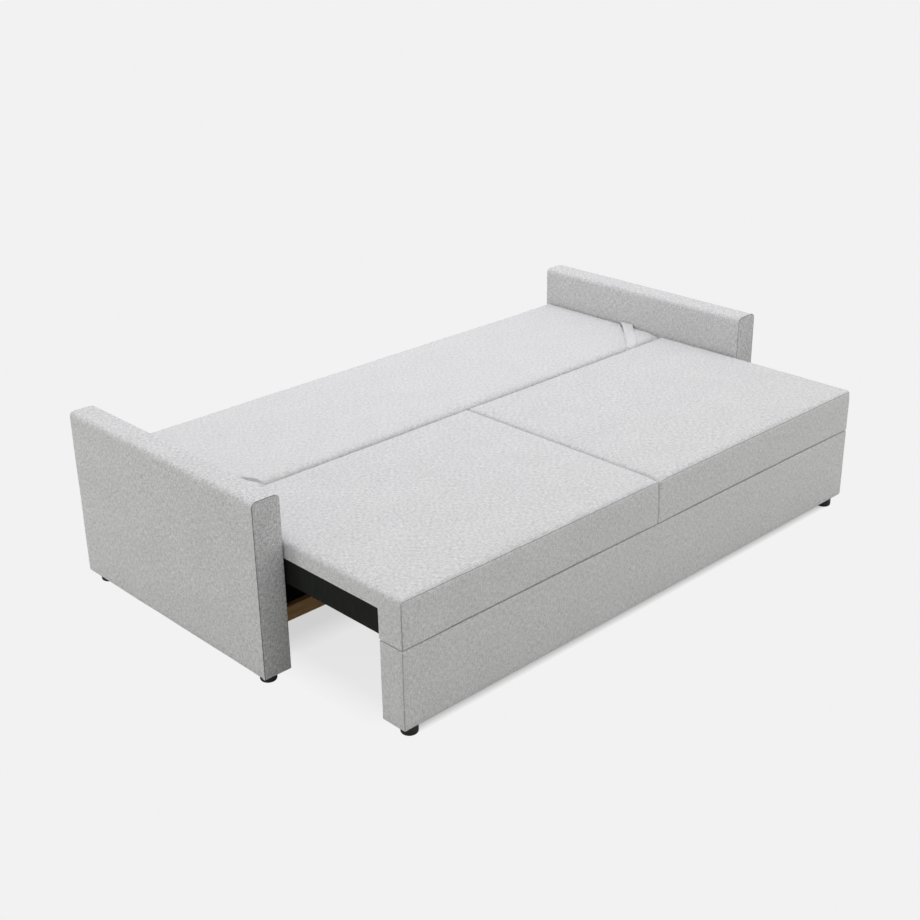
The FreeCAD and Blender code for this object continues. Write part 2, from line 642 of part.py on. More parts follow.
# Seat cushions: each a loft through three sections, with its front border hanging from it
def seat_cushion(side_name, side):
    body = new_body("seat_cushion_" + side_name)
    end_crown, middle_crown = "dims.cushion_end_crown", "dims.cushion_crown"
    stations = [
        ("inner", "dims.cushion_split / 2", end_crown, "0"),
        ("middle", "places.seat_middle", middle_crown, "dims.cushion_draw"),
        ("outer", "places.seat_side", end_crown, "0"),
    ]
    sections = []
    for name, station, rise, draw in stations:
        front = f"places.seat_front + {draw}"
        rear = f"places.seat_rear - {draw}"
        arc = crown_radius(f"({rear}) - ({front})", rise)
        sections.append(outline(body, f"seat_cushion_{name}_{side_name}", "YZ_Plane", [
            (front, "places.border_bottom", None), ("places.skin_back", "places.border_bottom", None),
            ("places.skin_back", "places.cushion_bottom", None), (rear, "places.cushion_bottom", None),
            (rear, "dims.bed_height", arc), (front, "dims.bed_height", None)],
            mirrored(side, station)))
    soft_loft(body, "seat_cushion_loft_" + side_name, sections, side)
    top = size("bed_height")
    for name, x in (("inner", size("cushion_split") / 2), ("outer", place("seat_side"))):
        body_fillet(body, f"seat_cushion_{name}_edge_{side_name}", body.Tip, "dims.cushion_edge_radius",
                    lambda edge: lies_at(edge, "x", side * x) and edge.BoundBox.ZMax > top + NEAR
                    and edge.Length > size("seat_depth") / 2)
    fronts = (place("seat_front"), "dims.cushion_edge_radius")
    rears = (place("seat_rear"), "dims.cushion_rear_radius")
    for name, (y, radius) in (("front", fronts), ("rear", rears)):
        body_fillet(body, f"seat_cushion_{name}_edge_{side_name}", body.Tip, radius,
                    lambda edge: lies_at(edge, "z", top) and lies_at(edge, "y", y)
                    and edge.Length > place("post_inside") / 2)
    wrap_low, wrap_high = span(side, "places.skin_side", "places.seat_side")
    body_box(body, "seat_cushion_return_" + side_name,
             (wrap_low, "places.skin_back - dims.overrun", "places.border_bottom"),
             (wrap_high, "places.border_back", "places.cushion_bottom + dims.overrun"))
    return keep("seat_cushion_" + side_name, body)


for side_name, side in SIDES:
    seat_cushion(side_name, side)


# Seat frame
def slat_rows(name, side, x_inner, x_outer, bottom, top):
    """One box for each slat, or for each slat's notch, across one side."""
    rows = []
    for k in range(round(size("slat_count"))):
        start = f"places.post_back + places.slat_pitch * {k} + (places.slat_pitch - dims.slat_width) / 2"
        rows.append(side_box(f"{name}_{k + 1}", side, x_inner, x_outer,
                             (start, bottom), (start + " + dims.slat_width", top)))
    return rows


notch_top = "places.rail_top + dims.overrun"
middle_notches = []
for side_name, side in SIDES:
    keep("slats_" + side_name, group("slats_" + side_name, slat_rows(
        "slat_" + side_name, side, "places.slat_inner_end", "places.slat_outer_end",
        "places.slat_bottom", "places.rail_top")))
    bar = side_box("side_rail_bar_" + side_name, side, "places.rail_inside", "places.rail_side",
                   ("places.front_rail_face", "places.rail_bottom"),
                   ("places.rear_rail_back", "places.rail_top"))
    notches = slat_rows("side_notch_" + side_name, side, "places.rail_inside - dims.overrun",
                        "places.slat_outer_end", "places.slat_bottom", notch_top)
    bolt_hole = across_rod("side_rail_bolt_hole_" + side_name, side, "dims.roller_bolt_radius",
                           "places.rail_inside - dims.overrun", "places.rail_side + dims.overrun",
                           "places.roller_place", "places.roller_height")
    keep("side_rail_" + side_name, cut("side_rail_" + side_name, bar, notches + [bolt_hole]))
    middle_notches += slat_rows("middle_notch_" + side_name, side, "places.slat_inner_end",
                                "places.half_post + dims.overrun", "places.slat_bottom", notch_top)
    keep("front_post_" + side_name, side_box(
        "front_post_" + side_name, side, "places.post_inside", "places.rail_inside",
        ("places.front_rail_back", "places.fascia_rail_top"), ("places.post_back", "places.rail_top")))
keep("front_rail", box("front_rail",
     ("-places.rail_inside", "places.front_rail_face", "places.rail_bottom"),
     ("places.rail_inside", "places.front_rail_back", "places.rail_top")))
centre_bar = box("centre_rail_bar",
                 ("-places.half_post", "places.front_rail_back", "places.rail_bottom"),
                 ("places.half_post", "places.rear_rail_face", "places.rail_top"))
keep("centre_rail", cut("centre_rail", centre_bar, middle_notches))
keep("front_post_centre", box("front_post_centre",
     ("-places.half_post", "places.front_rail_back", "places.fascia_rail_top"),
     ("places.half_post", "places.post_back", "places.rail_bottom")))

# Arms behind the seat that carry the lowered backrest, with their screws
BRACKET_PLACES = [("left", "-dims.bracket_place"), ("centre", "0"), ("right", "dims.bracket_place")]
SCREW_SIDES = [("a", "-"), ("b", "+")]
bracket_screws = []
rail_holes = []
for name, x in BRACKET_PLACES:
    body = new_body("back_rest_bracket_" + name)
    start, inside = "places.rear_rail_back", "places.rear_rail_back + dims.bracket_thickness"
    reach = start + " + dims.bracket_reach"
    bottom, ledge = "places.bracket_bottom", "places.bracket_top"
    top = bottom + " + dims.bracket_upstand"
    section = outline(body, f"bracket_section_{name}", "YZ_Plane", [
        (start, bottom, None), (reach, bottom, None), (reach, ledge, None),
        (inside, ledge, None), (inside, top, None), (start, top, None)], x + " - dims.bracket_width / 2")
    bar = body.newObject("PartDesign::Pad", f"bracket_bar_{name}")
    bar.Profile = section
    bar.setExpression("Length", "dims.bracket_width")
    for mark, sign in SCREW_SIDES:
        spot = f"{x} {sign} dims.screw_pitch / 2"
        height = bottom + " + dims.screw_row"
        body_hole(body, f"bracket_hole_{name}_{mark}", "dims.screw_radius",
                  "dims.bracket_thickness + 2 * dims.overrun",
                  (spot, start + " - dims.overrun", height), Y_AXIS)
        tip = start + " - dims.screw_length"
        shank = rod(f"bracket_screw_shank_{name}_{mark}", "dims.screw_radius",
                    "dims.screw_length + dims.bracket_thickness", (spot, tip, height), Y_AXIS)
        head = rod(f"bracket_screw_head_{name}_{mark}", "dims.screw_head_radius",
                   "dims.screw_head_height", (spot, inside, height), Y_AXIS)
        bracket_screws.append(join(f"bracket_screw_{name}_{mark}", [shank, head]))
        rail_holes.append(rod(f"rear_rail_hole_{name}_{mark}", "dims.screw_radius",
                              "dims.screw_length + dims.overrun", (spot, tip, height), Y_AXIS))
    keep("back_rest_bracket_" + name, body)
keep("bracket_screws", group("bracket_screws", bracket_screws))
rear_bar = box("rear_rail_bar",
               ("-places.rail_inside", "places.rear_rail_face", "places.rail_bottom"),
               ("places.rail_inside", "places.rear_rail_back", "places.rail_top"))
keep("rear_rail", cut("rear_rail", rear_bar, rail_holes))

# Fascia
body = new_body("fascia_cover")
shell = body_box(body, "fascia_cover_slab",
                 ("-places.seat_side", "places.seat_front", "dims.fascia_clearance"),
                 ("places.seat_side", "places.border_back", "places.fascia_top"))
body_fillet(body, "fascia_cover_edges", shell, "dims.fascia_edge_radius",
            lambda edge: lies_at(edge, "y", place("seat_front")))
body_box(body, "fascia_cover_hollow",
         ("-places.fascia_inside", "places.front_rail_face", "places.fascia_floor"),
         ("places.fascia_inside", "places.post_back", "places.fascia_roof"), True)
slots = [("left",) + span(-1, "places.post_inside", "places.rail_inside"),
         ("centre", "-places.half_post", "places.half_post"),
         ("right", "places.post_inside", "places.rail_inside")]
for name, low, high in slots:
    body_box(body, "fascia_cover_slot_" + name,
             (low + " - dims.fit_gap", "places.front_rail_back - dims.fit_gap",
              "places.fascia_roof - dims.overrun"),
             (high + " + dims.fit_gap", "places.post_back + dims.fit_gap",
              "places.fascia_top + dims.overrun"), True)
keep("fascia_cover", body)
keep("fascia_board", box("fascia_board",
     ("-places.fascia_inside", "places.front_rail_face", "places.fascia_rail_top"),
     ("places.fascia_inside", "places.front_rail_back", "places.fascia_roof")))
keep("fascia_bottom_rail", box("fascia_bottom_rail",
     ("-places.fascia_inside", "places.front_rail_face", "places.fascia_floor"),
     ("places.fascia_inside", "places.post_back", "places.fascia_rail_top")))

# Fascia glides, seat rollers and their bolts
for side_name, side in SIDES:
    glide("fascia_glide_" + side_name, mirrored(side, "places.seat_side - dims.fascia_glide_side"),
          "places.seat_front + dims.fascia_glide_front", "dims.fascia_clearance")
    y, z = "places.roller_place", "places.roller_height"
    tread = across_rod("roller_tread_" + side_name, side, "dims.roller_radius",
                       "places.roller_inside", "places.roller_outside", y, z)
    bore = across_rod("roller_bore_" + side_name, side,
                      "dims.roller_bolt_radius + dims.roller_running_gap",
                      "places.roller_inside - dims.overrun",
                      "places.roller_outside + dims.overrun", y, z)
    keep("roller_" + side_name, cut("roller_" + side_name, tread, [bore]))
    shank = across_rod("roller_bolt_shank_" + side_name, side, "dims.roller_bolt_radius",
                       "places.nut_inside", "places.rail_side", y, z)
    nut = across_rod("roller_bolt_nut_" + side_name, side, "dims.roller_head_radius",
                     "places.nut_inside", "places.nut_outside", y, z)
    head = across_rod("roller_bolt_head_" + side_name, side, "dims.roller_head_radius",
                      "places.rail_side", "places.rail_side + dims.roller_head_height", y, z)
    keep("roller_bolt_" + side_name, join("roller_bolt_" + side_name, [nut, shank, head]))


# Backrest: a loft through three sections, hollow for its frame
body = new_body("back_cover")
sections = []
for name, station, rise, draw in (
        ("left", "-places.back_side", "dims.back_end_crown", "0"),
        ("middle", "0", "dims.back_crown", "dims.back_draw"),
        ("right", "places.back_side", "dims.back_end_crown", "0")):
    nose, rear = "places.nose_middle", f"places.back_rear - {draw}"
    round_rear = f"{rear} - dims.back_edge_radius"
    bottom, top = "places.back_underside", "places.back_top"
    arc = crown_radius(f"({round_rear}) - ({nose})", rise)
    sections.append(outline(body, "back_section_" + name, "YZ_Plane", [
        ("places.bevel_foot", bottom, None), (round_rear, bottom, "dims.back_edge_radius"),
        (rear, bottom + " + dims.back_edge_radius", None),
        (rear, top + " - dims.back_edge_radius", "dims.back_edge_radius"),
        (round_rear, top, arc), (nose, top, "dims.back_nose_radius"),
        ("places.bevel_start_y", "places.bevel_start_z", None)], station))
soft_loft(body, "back_loft", sections, 1)
for name, x in (("left", -place("back_side")), ("right", place("back_side"))):
    body_fillet(body, "back_edge_" + name, body.Tip, "dims.back_side_radius",
                lambda edge: lies_at(edge, "x", x) and edge.BoundBox.ZMin > place("back_top") - NEAR)
body_box(body, "back_hollow",
         ("-places.back_hollow_side", "places.back_hollow_front", "places.back_hollow_bottom"),
         ("places.back_hollow_side", "places.back_hollow_rear", "places.back_hollow_top"), True)
for side_name, side in SIDES:
    across_hole(body, "back_stud_hole_" + side_name, side, "places.bush_radius",
                "places.back_hollow_side - dims.overrun", "places.back_side + dims.overrun",
                "places.pivot_place", "places.pivot_height")
    tip = mirrored(side, "places.back_side + dims.overrun")
    near = mirrored(side, "places.back_side - places.strap_outer_leg - dims.overrun")
    front = "places.back_nose - dims.overrun"
    back = "places.back_nose + places.strap_outer_leg + dims.overrun"
    corner = outline(body, "back_corner_" + side_name, "XY_Plane",
                     [(tip, back, None), (near, front, None), (tip, front, None)],
                     "places.back_top - dims.corner_dip")
    dip = body.newObject("PartDesign::Pocket", "back_dip_" + side_name)
    dip.Profile = corner
    dip.Reversed = True
    dip.setExpression("Length", "dims.corner_dip + dims.back_crown + dims.overrun")
keep("back_cover", body)

frame_low, frame_high = "places.back_hollow_bottom", "places.back_frame_top"
for name, face, back in (
        ("front", "places.back_hollow_front", "places.back_front_rail_back"),
        ("rear", "places.back_rear_rail_face", "places.back_hollow_rear")):
    keep(f"back_{name}_rail", box(f"back_{name}_rail",
         ("-places.stud_end", face, frame_low), ("places.stud_end", back, frame_high)))
keep("back_stile_centre", box("back_stile_centre",
     ("-places.half_post", "places.back_front_rail_back", frame_low),
     ("places.half_post", "places.back_rear_rail_face", frame_high)))
webbing = []
for side_name, side in SIDES:
    y, z = "places.pivot_place", "places.pivot_height"
    bar = side_box("back_stile_bar_" + side_name, side, "places.stud_end", "places.back_hollow_side",
                   ("places.back_hollow_front", frame_low), ("places.back_hollow_rear", frame_high))
    socket = across_rod("back_stile_socket_" + side_name, side, "places.bush_radius",
                        "places.stud_end - dims.overrun", "places.back_hollow_side + dims.overrun", y, z)
    keep("back_stile_" + side_name, cut("back_stile_" + side_name, bar, [socket]))
    tube = across_rod("pivot_bush_tube_" + side_name, side, "places.bush_radius",
                      "places.stud_end", "places.back_hollow_side", y, z)
    bore = across_rod("pivot_bush_bore_" + side_name, side, "dims.stud_radius + dims.stud_running_gap",
                      "places.stud_end - dims.overrun", "places.back_hollow_side + dims.overrun", y, z)
    keep("pivot_bush_" + side_name, cut("pivot_bush_" + side_name, tube, [bore]))
    for k in range(round(size("webbing_count"))):
        middle = f"places.half_post + places.webbing_pitch * ({k} + 1 / 2)"
        inner, outer = middle + " - dims.webbing_width / 2", middle + " + dims.webbing_width / 2"
        webbing.append(side_box(f"webbing_{side_name}_{k + 1}", side, inner, outer,
                                ("places.back_hollow_front", frame_high),
                                ("places.back_hollow_rear", frame_high + " + dims.webbing_thickness")))
keep("back_webbing", group("back_webbing", webbing))

# Pull straps across the backrest's front corners
for side_name, side in SIDES:
    body = new_body("pull_strap_" + side_name)
    outside = "places.strap_side"
    lap = "(places.strap_side - places.back_side)"
    band = outline(body, "strap_band_outline_" + side_name, "XY_Plane", [
        (mirrored(side, outside), f"places.back_nose + dims.strap_leg + {lap}", None),
        (mirrored(side, "places.back_side - dims.strap_leg + dims.back_nose_radius"),
         "places.nose_middle", None),
        (mirrored(side, "places.back_side - places.strap_outer_leg + dims.back_nose_radius"),
         "places.nose_middle", None),
        (mirrored(side, outside), f"places.back_nose + places.strap_outer_leg + {lap}", None)],
        "places.strap_bottom")
    pad = body.newObject("PartDesign::Pad", "strap_band_" + side_name)
    pad.Profile = band
    pad.setExpression("Length", "dims.strap_thickness")
    low, high = span(side, "places.back_side + dims.soft_gap", outside)
    body_box(body, "strap_side_tail_" + side_name,
             (low, f"places.back_nose + places.strap_outer_leg + {lap}",
              "places.back_top - dims.strap_side_drop"),
             (high, f"places.back_nose + dims.strap_leg + {lap}", "places.strap_top"))
    low, high = span(side, "places.back_side - dims.strap_leg + dims.back_nose_radius",
                     "places.back_side - places.strap_outer_leg + dims.back_nose_radius")
    tail = body.newObject("PartDesign::AdditiveCylinder", "strap_front_tail_" + side_name)
    tail.setExpression("Radius", "places.strap_ring_outer")
    tail.setExpression("Height", f"({high}) - ({low})")
    tail.setExpression("Angle", "dims.strap_wrap")
    tail.Placement = PLACE(V(0, 0, 0), ROT(Z_AXIS, -Y_AXIS, X_AXIS, "XYZ"))
    for axis, rule in zip("xyz", (low, "places.nose_middle", "places.nose_height")):
        tail.setExpression("Placement.Base." + axis, rule)
    body_hole(body, "strap_front_bore_" + side_name, "places.strap_ring_inner",
              f"({high}) - ({low}) + 2 * dims.overrun",
              (low + " - dims.overrun", "places.nose_middle", "places.nose_height"), X_AXIS)
    keep("pull_strap_" + side_name, body)

# Checks and export
doc.recompute()
os.makedirs("parts", exist_ok=True)
for obj in SUBPARTS:
    if "Invalid" in obj.State or "Error" in obj.State:
        raise RuntimeError(obj.Label + " did not build")
    if obj.Shape.isNull() or not obj.Shape.isValid():
        raise RuntimeError(obj.Label + " has no valid shape")
    obj.Shape.exportStep("parts/" + obj.Label + ".step")
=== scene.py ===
import math
import bmesh
import bpy
import numpy as np
from mathutils import Matrix, Vector
from mathutils.bvhtree import BVHTree
from mathutils.kdtree import KDTree


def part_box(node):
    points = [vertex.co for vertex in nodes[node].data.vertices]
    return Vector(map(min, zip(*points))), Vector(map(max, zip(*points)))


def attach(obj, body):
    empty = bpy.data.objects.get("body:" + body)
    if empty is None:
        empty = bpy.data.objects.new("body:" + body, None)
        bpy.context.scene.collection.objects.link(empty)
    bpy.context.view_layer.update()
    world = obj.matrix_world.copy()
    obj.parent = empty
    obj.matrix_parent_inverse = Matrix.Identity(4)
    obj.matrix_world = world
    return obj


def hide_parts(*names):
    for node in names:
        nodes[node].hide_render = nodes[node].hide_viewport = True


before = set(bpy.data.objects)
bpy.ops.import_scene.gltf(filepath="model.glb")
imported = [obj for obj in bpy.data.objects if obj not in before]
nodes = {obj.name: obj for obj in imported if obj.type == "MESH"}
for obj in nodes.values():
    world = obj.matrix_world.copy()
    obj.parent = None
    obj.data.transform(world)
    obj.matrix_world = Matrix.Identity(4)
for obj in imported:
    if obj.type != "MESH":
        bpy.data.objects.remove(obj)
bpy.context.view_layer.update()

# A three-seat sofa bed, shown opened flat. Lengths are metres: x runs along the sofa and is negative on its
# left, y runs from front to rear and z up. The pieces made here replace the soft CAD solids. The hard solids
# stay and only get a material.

MM = 0.001


def add_object(name, data):
    made = bpy.data.objects.new(name, data)
    bpy.context.scene.collection.objects.link(made)
    return made


# ---------------------------------------------------------------- camera, as fitted to the photo
AZIMUTH, ELEVATION, ROLL = (math.radians(a) for a in (-43.5473, 23.7473, -0.8947))
CAMERA_AT = Vector((-2.9803, -2.9928, 2.1243))
FOCAL_PX, PICTURE_PX, SENSOR_MM = 1431.1633, 920, 36


def look_matrix():
    back = Vector((math.sin(AZIMUTH) * math.cos(ELEVATION),
                   -math.cos(AZIMUTH) * math.cos(ELEVATION), math.sin(ELEVATION)))
    right = (-back).cross(Vector((0, 0, 1))).normalized()
    up = right.cross(-back)
    c, s = math.cos(ROLL), math.sin(ROLL)
    across, above = c * right + s * up, c * up - s * right
    turn = Matrix((across, above, back)).transposed()
    return Matrix.Translation(CAMERA_AT) @ turn.to_4x4()


lens = bpy.data.cameras.new("camera")
lens.sensor_width = SENSOR_MM
lens.lens = FOCAL_PX / PICTURE_PX * SENSOR_MM
lens.clip_end = 60
camera = add_object("camera", lens)
camera.matrix_world = look_matrix()
bpy.context.scene.camera = camera


# ---------------------------------------------------------------- node helpers
class Maker:
    """Short ways to add and join nodes in one tree. All but node() and parts() return one output socket."""

    def __init__(self, tree):
        self.tree = tree

    def node(self, kind, **settings):
        made = self.tree.nodes.new(kind)
        for key, setting in settings.items():
            setattr(made, key, setting)
        return made

    def join(self, source, target):
        self.tree.links.new(source, target)

    def feed(self, socket, source):
        """The source is another node's socket, a plain value, or None, which keeps the socket's own value."""
        if isinstance(source, bpy.types.NodeSocket):
            self.join(source, socket)
        elif source is not None:
            socket.default_value = source

    def math(self, operation, a, b=None, clamp=False):
        made = self.node("ShaderNodeMath", operation=operation, use_clamp=clamp)
        self.feed(made.inputs[0], a)
        self.feed(made.inputs[1], b)
        return made.outputs[0]

    def vector(self, operation, a, b=None):
        made = self.node("ShaderNodeVectorMath", operation=operation)
        self.feed(made.inputs[0], a)
        self.feed(made.inputs[1], b)
        return made.outputs["Value" if operation in ("DOT_PRODUCT", "LENGTH") else "Vector"]

    def parts(self, vector):
        made = self.node("ShaderNodeSeparateXYZ")
        self.join(vector, made.inputs[0])
        return made.outputs

    def mix(self, factor, a, b):
        """A mix of two colours, which are inputs 6 and 7 and output 2 of the node."""
        made = self.node("ShaderNodeMix", data_type="RGBA")
        for k, source in ((0, factor), (6, a), (7, b)):
            self.feed(made.inputs[k], source)
        return made.outputs[2]

    def blend(self, factor, a, b):
        """A mix of two numbers, which are inputs 2 and 3 of the node."""
        made = self.node("ShaderNodeMix", data_type="FLOAT")
        for k, source in ((0, factor), (2, a), (3, b)):
            self.feed(made.inputs[k], source)
        return made.outputs[0]

    def noise(self, vector, scale, detail=2.0, rough=0.5):
        made = self.node("ShaderNodeTexNoise")
        for label, source in (("Vector", vector), ("Scale", scale), ("Detail", detail), ("Roughness", rough)):
            self.feed(made.inputs[label], source)
        return made.outputs["Fac"]

    def span(self, value, low, high, to_low=0.0, to_high=1.0):
        made = self.node("ShaderNodeMapRange")
        for socket, source in zip(made.inputs[:5], (value, low, high, to_low, to_high)):
            self.feed(socket, source)
        return made.outputs[0]

    def bump(self, height, depth, strength):
        made = self.node("ShaderNodeBump")
        for label, source in (("Height", height), ("Distance", depth), ("Strength", strength)):
            self.feed(made.inputs[label], source)
        return made.outputs[0]

    def shader(self, kind, **settings):
        made = self.node(kind)
        for label, setting in settings.items():
            made.inputs[label].default_value = setting
        return made.outputs[0]

    def choose(self, factor, a, b):
        """A mix of two shaders."""
        made = self.node("ShaderNodeMixShader")
        for socket, source in zip(made.inputs, (factor, a, b)):
            self.join(source, socket)
        return made.outputs[0]


COLOUR, NUMBER, VECTOR = "NodeSocketColor", "NodeSocketFloat", "NodeSocketVector"
SURFACE = (("Color", COLOUR), ("Roughness", NUMBER), ("Normal", VECTOR))


def new_group(name, inputs):
    """A node group that gives a surface: its tree, a Maker for it, and its first and last node."""
    tree = bpy.data.node_groups.new(name, "ShaderNodeTree")
    for label, kind, default in inputs:
        tree.interface.new_socket(label, in_out="INPUT", socket_type=kind).default_value = default
    for label, kind in SURFACE:
        tree.interface.new_socket(label, in_out="OUTPUT", socket_type=kind)
    maker = Maker(tree)
    return tree, maker, maker.node("NodeGroupInput"), maker.node("NodeGroupOutput")


def close_group(maker, last, *sources):
    """Joins the group's colour, roughness and normal to its last node."""
    for (label, kind), source in zip(SURFACE, sources):
        maker.join(source, last.inputs[label])


# ---------------------------------------------------------------- cloth: melange yarn in a plain weave
THREAD = 1.7 * MM
EVEN_COUNT = 20000.0    # added to the count of threads so that it stays above zero
# noise scales per metre along and across the threads, for the warp and for the weft
FIBRES = ((620.0, 55.0, 1.0), (70.0, 560.0, 1.0))
SLUBS = ((75.0, 290.0, 1.0), (275.0, 72.0, 1.0))
YARN_SHARE, SLUB_SHARE, MOTTLE_SHARE, CLOUD_SHARE = 0.20, 0.33, 0.14, 0.05

cloth_tree, m, start, end = new_group("melange_cloth", [
    ("Light", COLOUR, (0.7, 0.7, 0.7, 1)), ("Dark", COLOUR, (0.4, 0.4, 0.4, 1)), ("Fleck", NUMBER, 0.5)])
uv = m.node("ShaderNodeUVMap", uv_map="cloth").outputs[0]
u, v = (m.math("DIVIDE", part, THREAD) for part in m.parts(uv)[:2])
crossing = m.math("ADD", m.math("FLOOR", u), m.math("FLOOR", v))
over = m.math("MODULO", m.math("ADD", crossing, EVEN_COUNT), 2.0)
warp_round, weft_round = (m.math("SINE", m.math("MULTIPLY", m.math("FRACT", part), math.pi)) for part in (u, v))
warp, weft = (m.noise(m.vector("MULTIPLY", uv, scales), 1.0, rough=0.65) for scales in FIBRES)
slubs = [m.noise(m.vector("MULTIPLY", uv, scales), 1.0, rough=0.6) for scales in SLUBS]
mottle = m.noise(uv, 150.0, detail=3.0, rough=0.7)
cloud = m.noise(uv, 9.0, detail=3.0, rough=0.55)
tone = m.math("MULTIPLY", m.blend(over, warp, weft), YARN_SHARE)
for part, share in ((slubs[0], SLUB_SHARE), (slubs[1], SLUB_SHARE), (mottle, MOTTLE_SHARE)):
    tone = m.math("ADD", tone, m.math("MULTIPLY", part, share))
tone = m.math("ADD", tone, m.math("MULTIPLY", m.math("SUBTRACT", cloud, 0.5), CLOUD_SHARE))
fleck = m.math("MULTIPLY", m.span(mottle, 0.60, 0.74), start.outputs["Fleck"])
tone = m.math("SUBTRACT", m.span(tone, 0.42, 0.58), fleck, clamp=True)
height = m.math("ADD", m.blend(over, warp_round, weft_round), m.math("MULTIPLY", mottle, 0.9))
close_group(m, end, m.mix(tone, start.outputs["Dark"], start.outputs["Light"]), m.blend(tone, 0.93, 0.84),
            m.bump(height, 0.35 * MM, 0.55))


# ---------------------------------------------------------------- worn edges, wood, plastic, metal
def edge_wear(maker, width):
    """1 on a convex edge, 0 on a flat: the difference that a rounding would make to the normal."""
    rounded = maker.node("ShaderNodeBevel", samples=4)
    rounded.inputs["Radius"].default_value = width
    plain = maker.node("ShaderNodeNewGeometry").outputs["Normal"]
    return maker.span(maker.vector("DOT_PRODUCT", rounded.outputs[0], plain), 0.97, 0.80)


wood_tree, m, start, end = new_group("planed_wood", [
    ("Light", COLOUR, (0.5, 0.3, 0.15, 1)), ("Dark", COLOUR, (0.2, 0.1, 0.05, 1)),
    ("Edge", COLOUR, (0.6, 0.4, 0.25, 1)), ("Along", VECTOR, (1, 12, 12)), ("Gloss", NUMBER, 0.5)])
RING_COUNT = 9.0
where = m.node("ShaderNodeTexCoord").outputs["Object"]
grain = m.vector("MULTIPLY", where, start.outputs["Along"])
fine = m.noise(grain, 34.0, detail=3.0, rough=0.6)
rings = m.math("FRACT", m.math("MULTIPLY", m.noise(grain, 3.0, detail=5.0, rough=0.55), RING_COUNT))
rings = m.math("ABSOLUTE", m.math("SUBTRACT", rings, 0.5))
tone = m.math("ADD", rings, m.math("MULTIPLY", fine, 0.45), clamp=True)
colour = m.mix(tone, start.outputs["Dark"], start.outputs["Light"])
colour = m.mix(m.math("MULTIPLY", edge_wear(m, 2.5 * MM), 0.55), colour, start.outputs["Edge"])
close_group(m, end, colour, m.math("ADD", start.outputs["Gloss"], m.math("MULTIPLY", fine, 0.2)),
            m.bump(m.math("ADD", fine, rings), 0.25 * MM, 0.5))

plain_tree, m, start, end = new_group("moulded_or_coated", [
    ("Colour", COLOUR, (0.1, 0.1, 0.1, 1)), ("Worn", COLOUR, (0.2, 0.2, 0.2, 1)),
    ("Gloss", NUMBER, 0.5), ("Grain", NUMBER, 900.0), ("Depth", NUMBER, 0.3)])
where = m.node("ShaderNodeTexCoord").outputs["Object"]
dust = m.noise(where, 45.0, detail=4.0, rough=0.6)
colour = m.mix(m.span(dust, 0.45, 0.75, 0.0, 0.35), start.outputs["Colour"], start.outputs["Worn"])
colour = m.mix(m.math("MULTIPLY", edge_wear(m, 1.5 * MM), 0.6), colour, start.outputs["Worn"])
close_group(m, end, colour, m.math("ADD", start.outputs["Gloss"], m.math("MULTIPLY", dust, 0.25)),
            m.bump(m.noise(where, start.outputs["Grain"], detail=3.0), 0.2 * MM, start.outputs["Depth"]))

SHEEN_ROUGHNESS, SHEEN_SPECULAR = 0.45, 0.25


def material(name, tree, settings, metallic=0.0, sheen=0.0, specular=0.5):
    made = bpy.data.materials.new(name)
    made.use_nodes = True
    inner = made.node_tree
    shader = inner.nodes["Principled BSDF"]
    call = inner.nodes.new("ShaderNodeGroup")
    call.node_tree = tree
    for label, setting in settings.items():
        call.inputs[label].default_value = setting
    inner.links.new(call.outputs["Color"], shader.inputs["Base Color"])
    inner.links.new(call.outputs["Roughness"], shader.inputs["Roughness"])
    inner.links.new(call.outputs["Normal"], shader.inputs["Normal"])
    shader.inputs["Metallic"].default_value = metallic
    shader.inputs["Sheen Weight"].default_value = sheen
    shader.inputs["Sheen Roughness"].default_value = SHEEN_ROUGHNESS
    shader.inputs["Specular IOR Level"].default_value = SHEEN_SPECULAR if sheen else specular
    return made


def grey(level, tint=(1.0, 1.0, 1.0)):
    return tuple(level * t for t in tint) + (1,)


def cloth(name, light, dark, fleck, tint=(1.0, 1.0, 1.0), sheen=0.05):
    settings = {"Light": grey(light, tint), "Dark": grey(dark, tint), "Fleck": fleck}
    return material(name, cloth_tree, settings, sheen=sheen)


seat_cloth = cloth("seat_cloth", 0.72, 0.49, 0.22)
back_cloth = cloth("back_cloth", 0.715, 0.53, 0.16)
arm_cloth = cloth("arm_cloth", 0.73, 0.45, 0.28)
# a darker, slightly greener copy of the arm's cloth for the front faces of the arm pads: painted shade, not a
# different cloth
pad_cloth_painted_shade = cloth("front_pad_cloth", 0.70, 0.37, 0.45, (0.985, 1.0, 0.992))
strap_cloth = cloth("strap_cloth", 0.73, 0.58, 0.12)
# the seams are real raised tubes, but coloured far darker than the cloth: painted shade for the shadow in each
# seam's groove
seam_cloth_painted_shade = cloth("seam_cloth_painted_shade", 0.25, 0.16, 0.3, sheen=0.0)
ALONG_X, ALONG_Y, ALONG_Z = (1.2, 14, 14), (14, 1.2, 14), (14, 14, 1.2)
RAW = {"Light": (0.60, 0.43, 0.26, 1), "Dark": (0.40, 0.25, 0.13, 1), "Edge": (0.68, 0.52, 0.34, 1),
       "Gloss": 0.55}
BROWN = {"Light": (0.58, 0.36, 0.16, 1), "Dark": (0.34, 0.19, 0.07, 1), "Edge": (0.50, 0.34, 0.18, 1),
         "Gloss": 0.5}
BLACK = {"Light": (0.015, 0.017, 0.014, 1), "Dark": (0.006, 0.007, 0.006, 1),
         "Edge": (0.03, 0.03, 0.03, 1), "Gloss": 0.6}


def wood(name, look, along):
    return material(name, wood_tree, dict(look, Along=along), specular=0.12 if look is BLACK else 0.5)


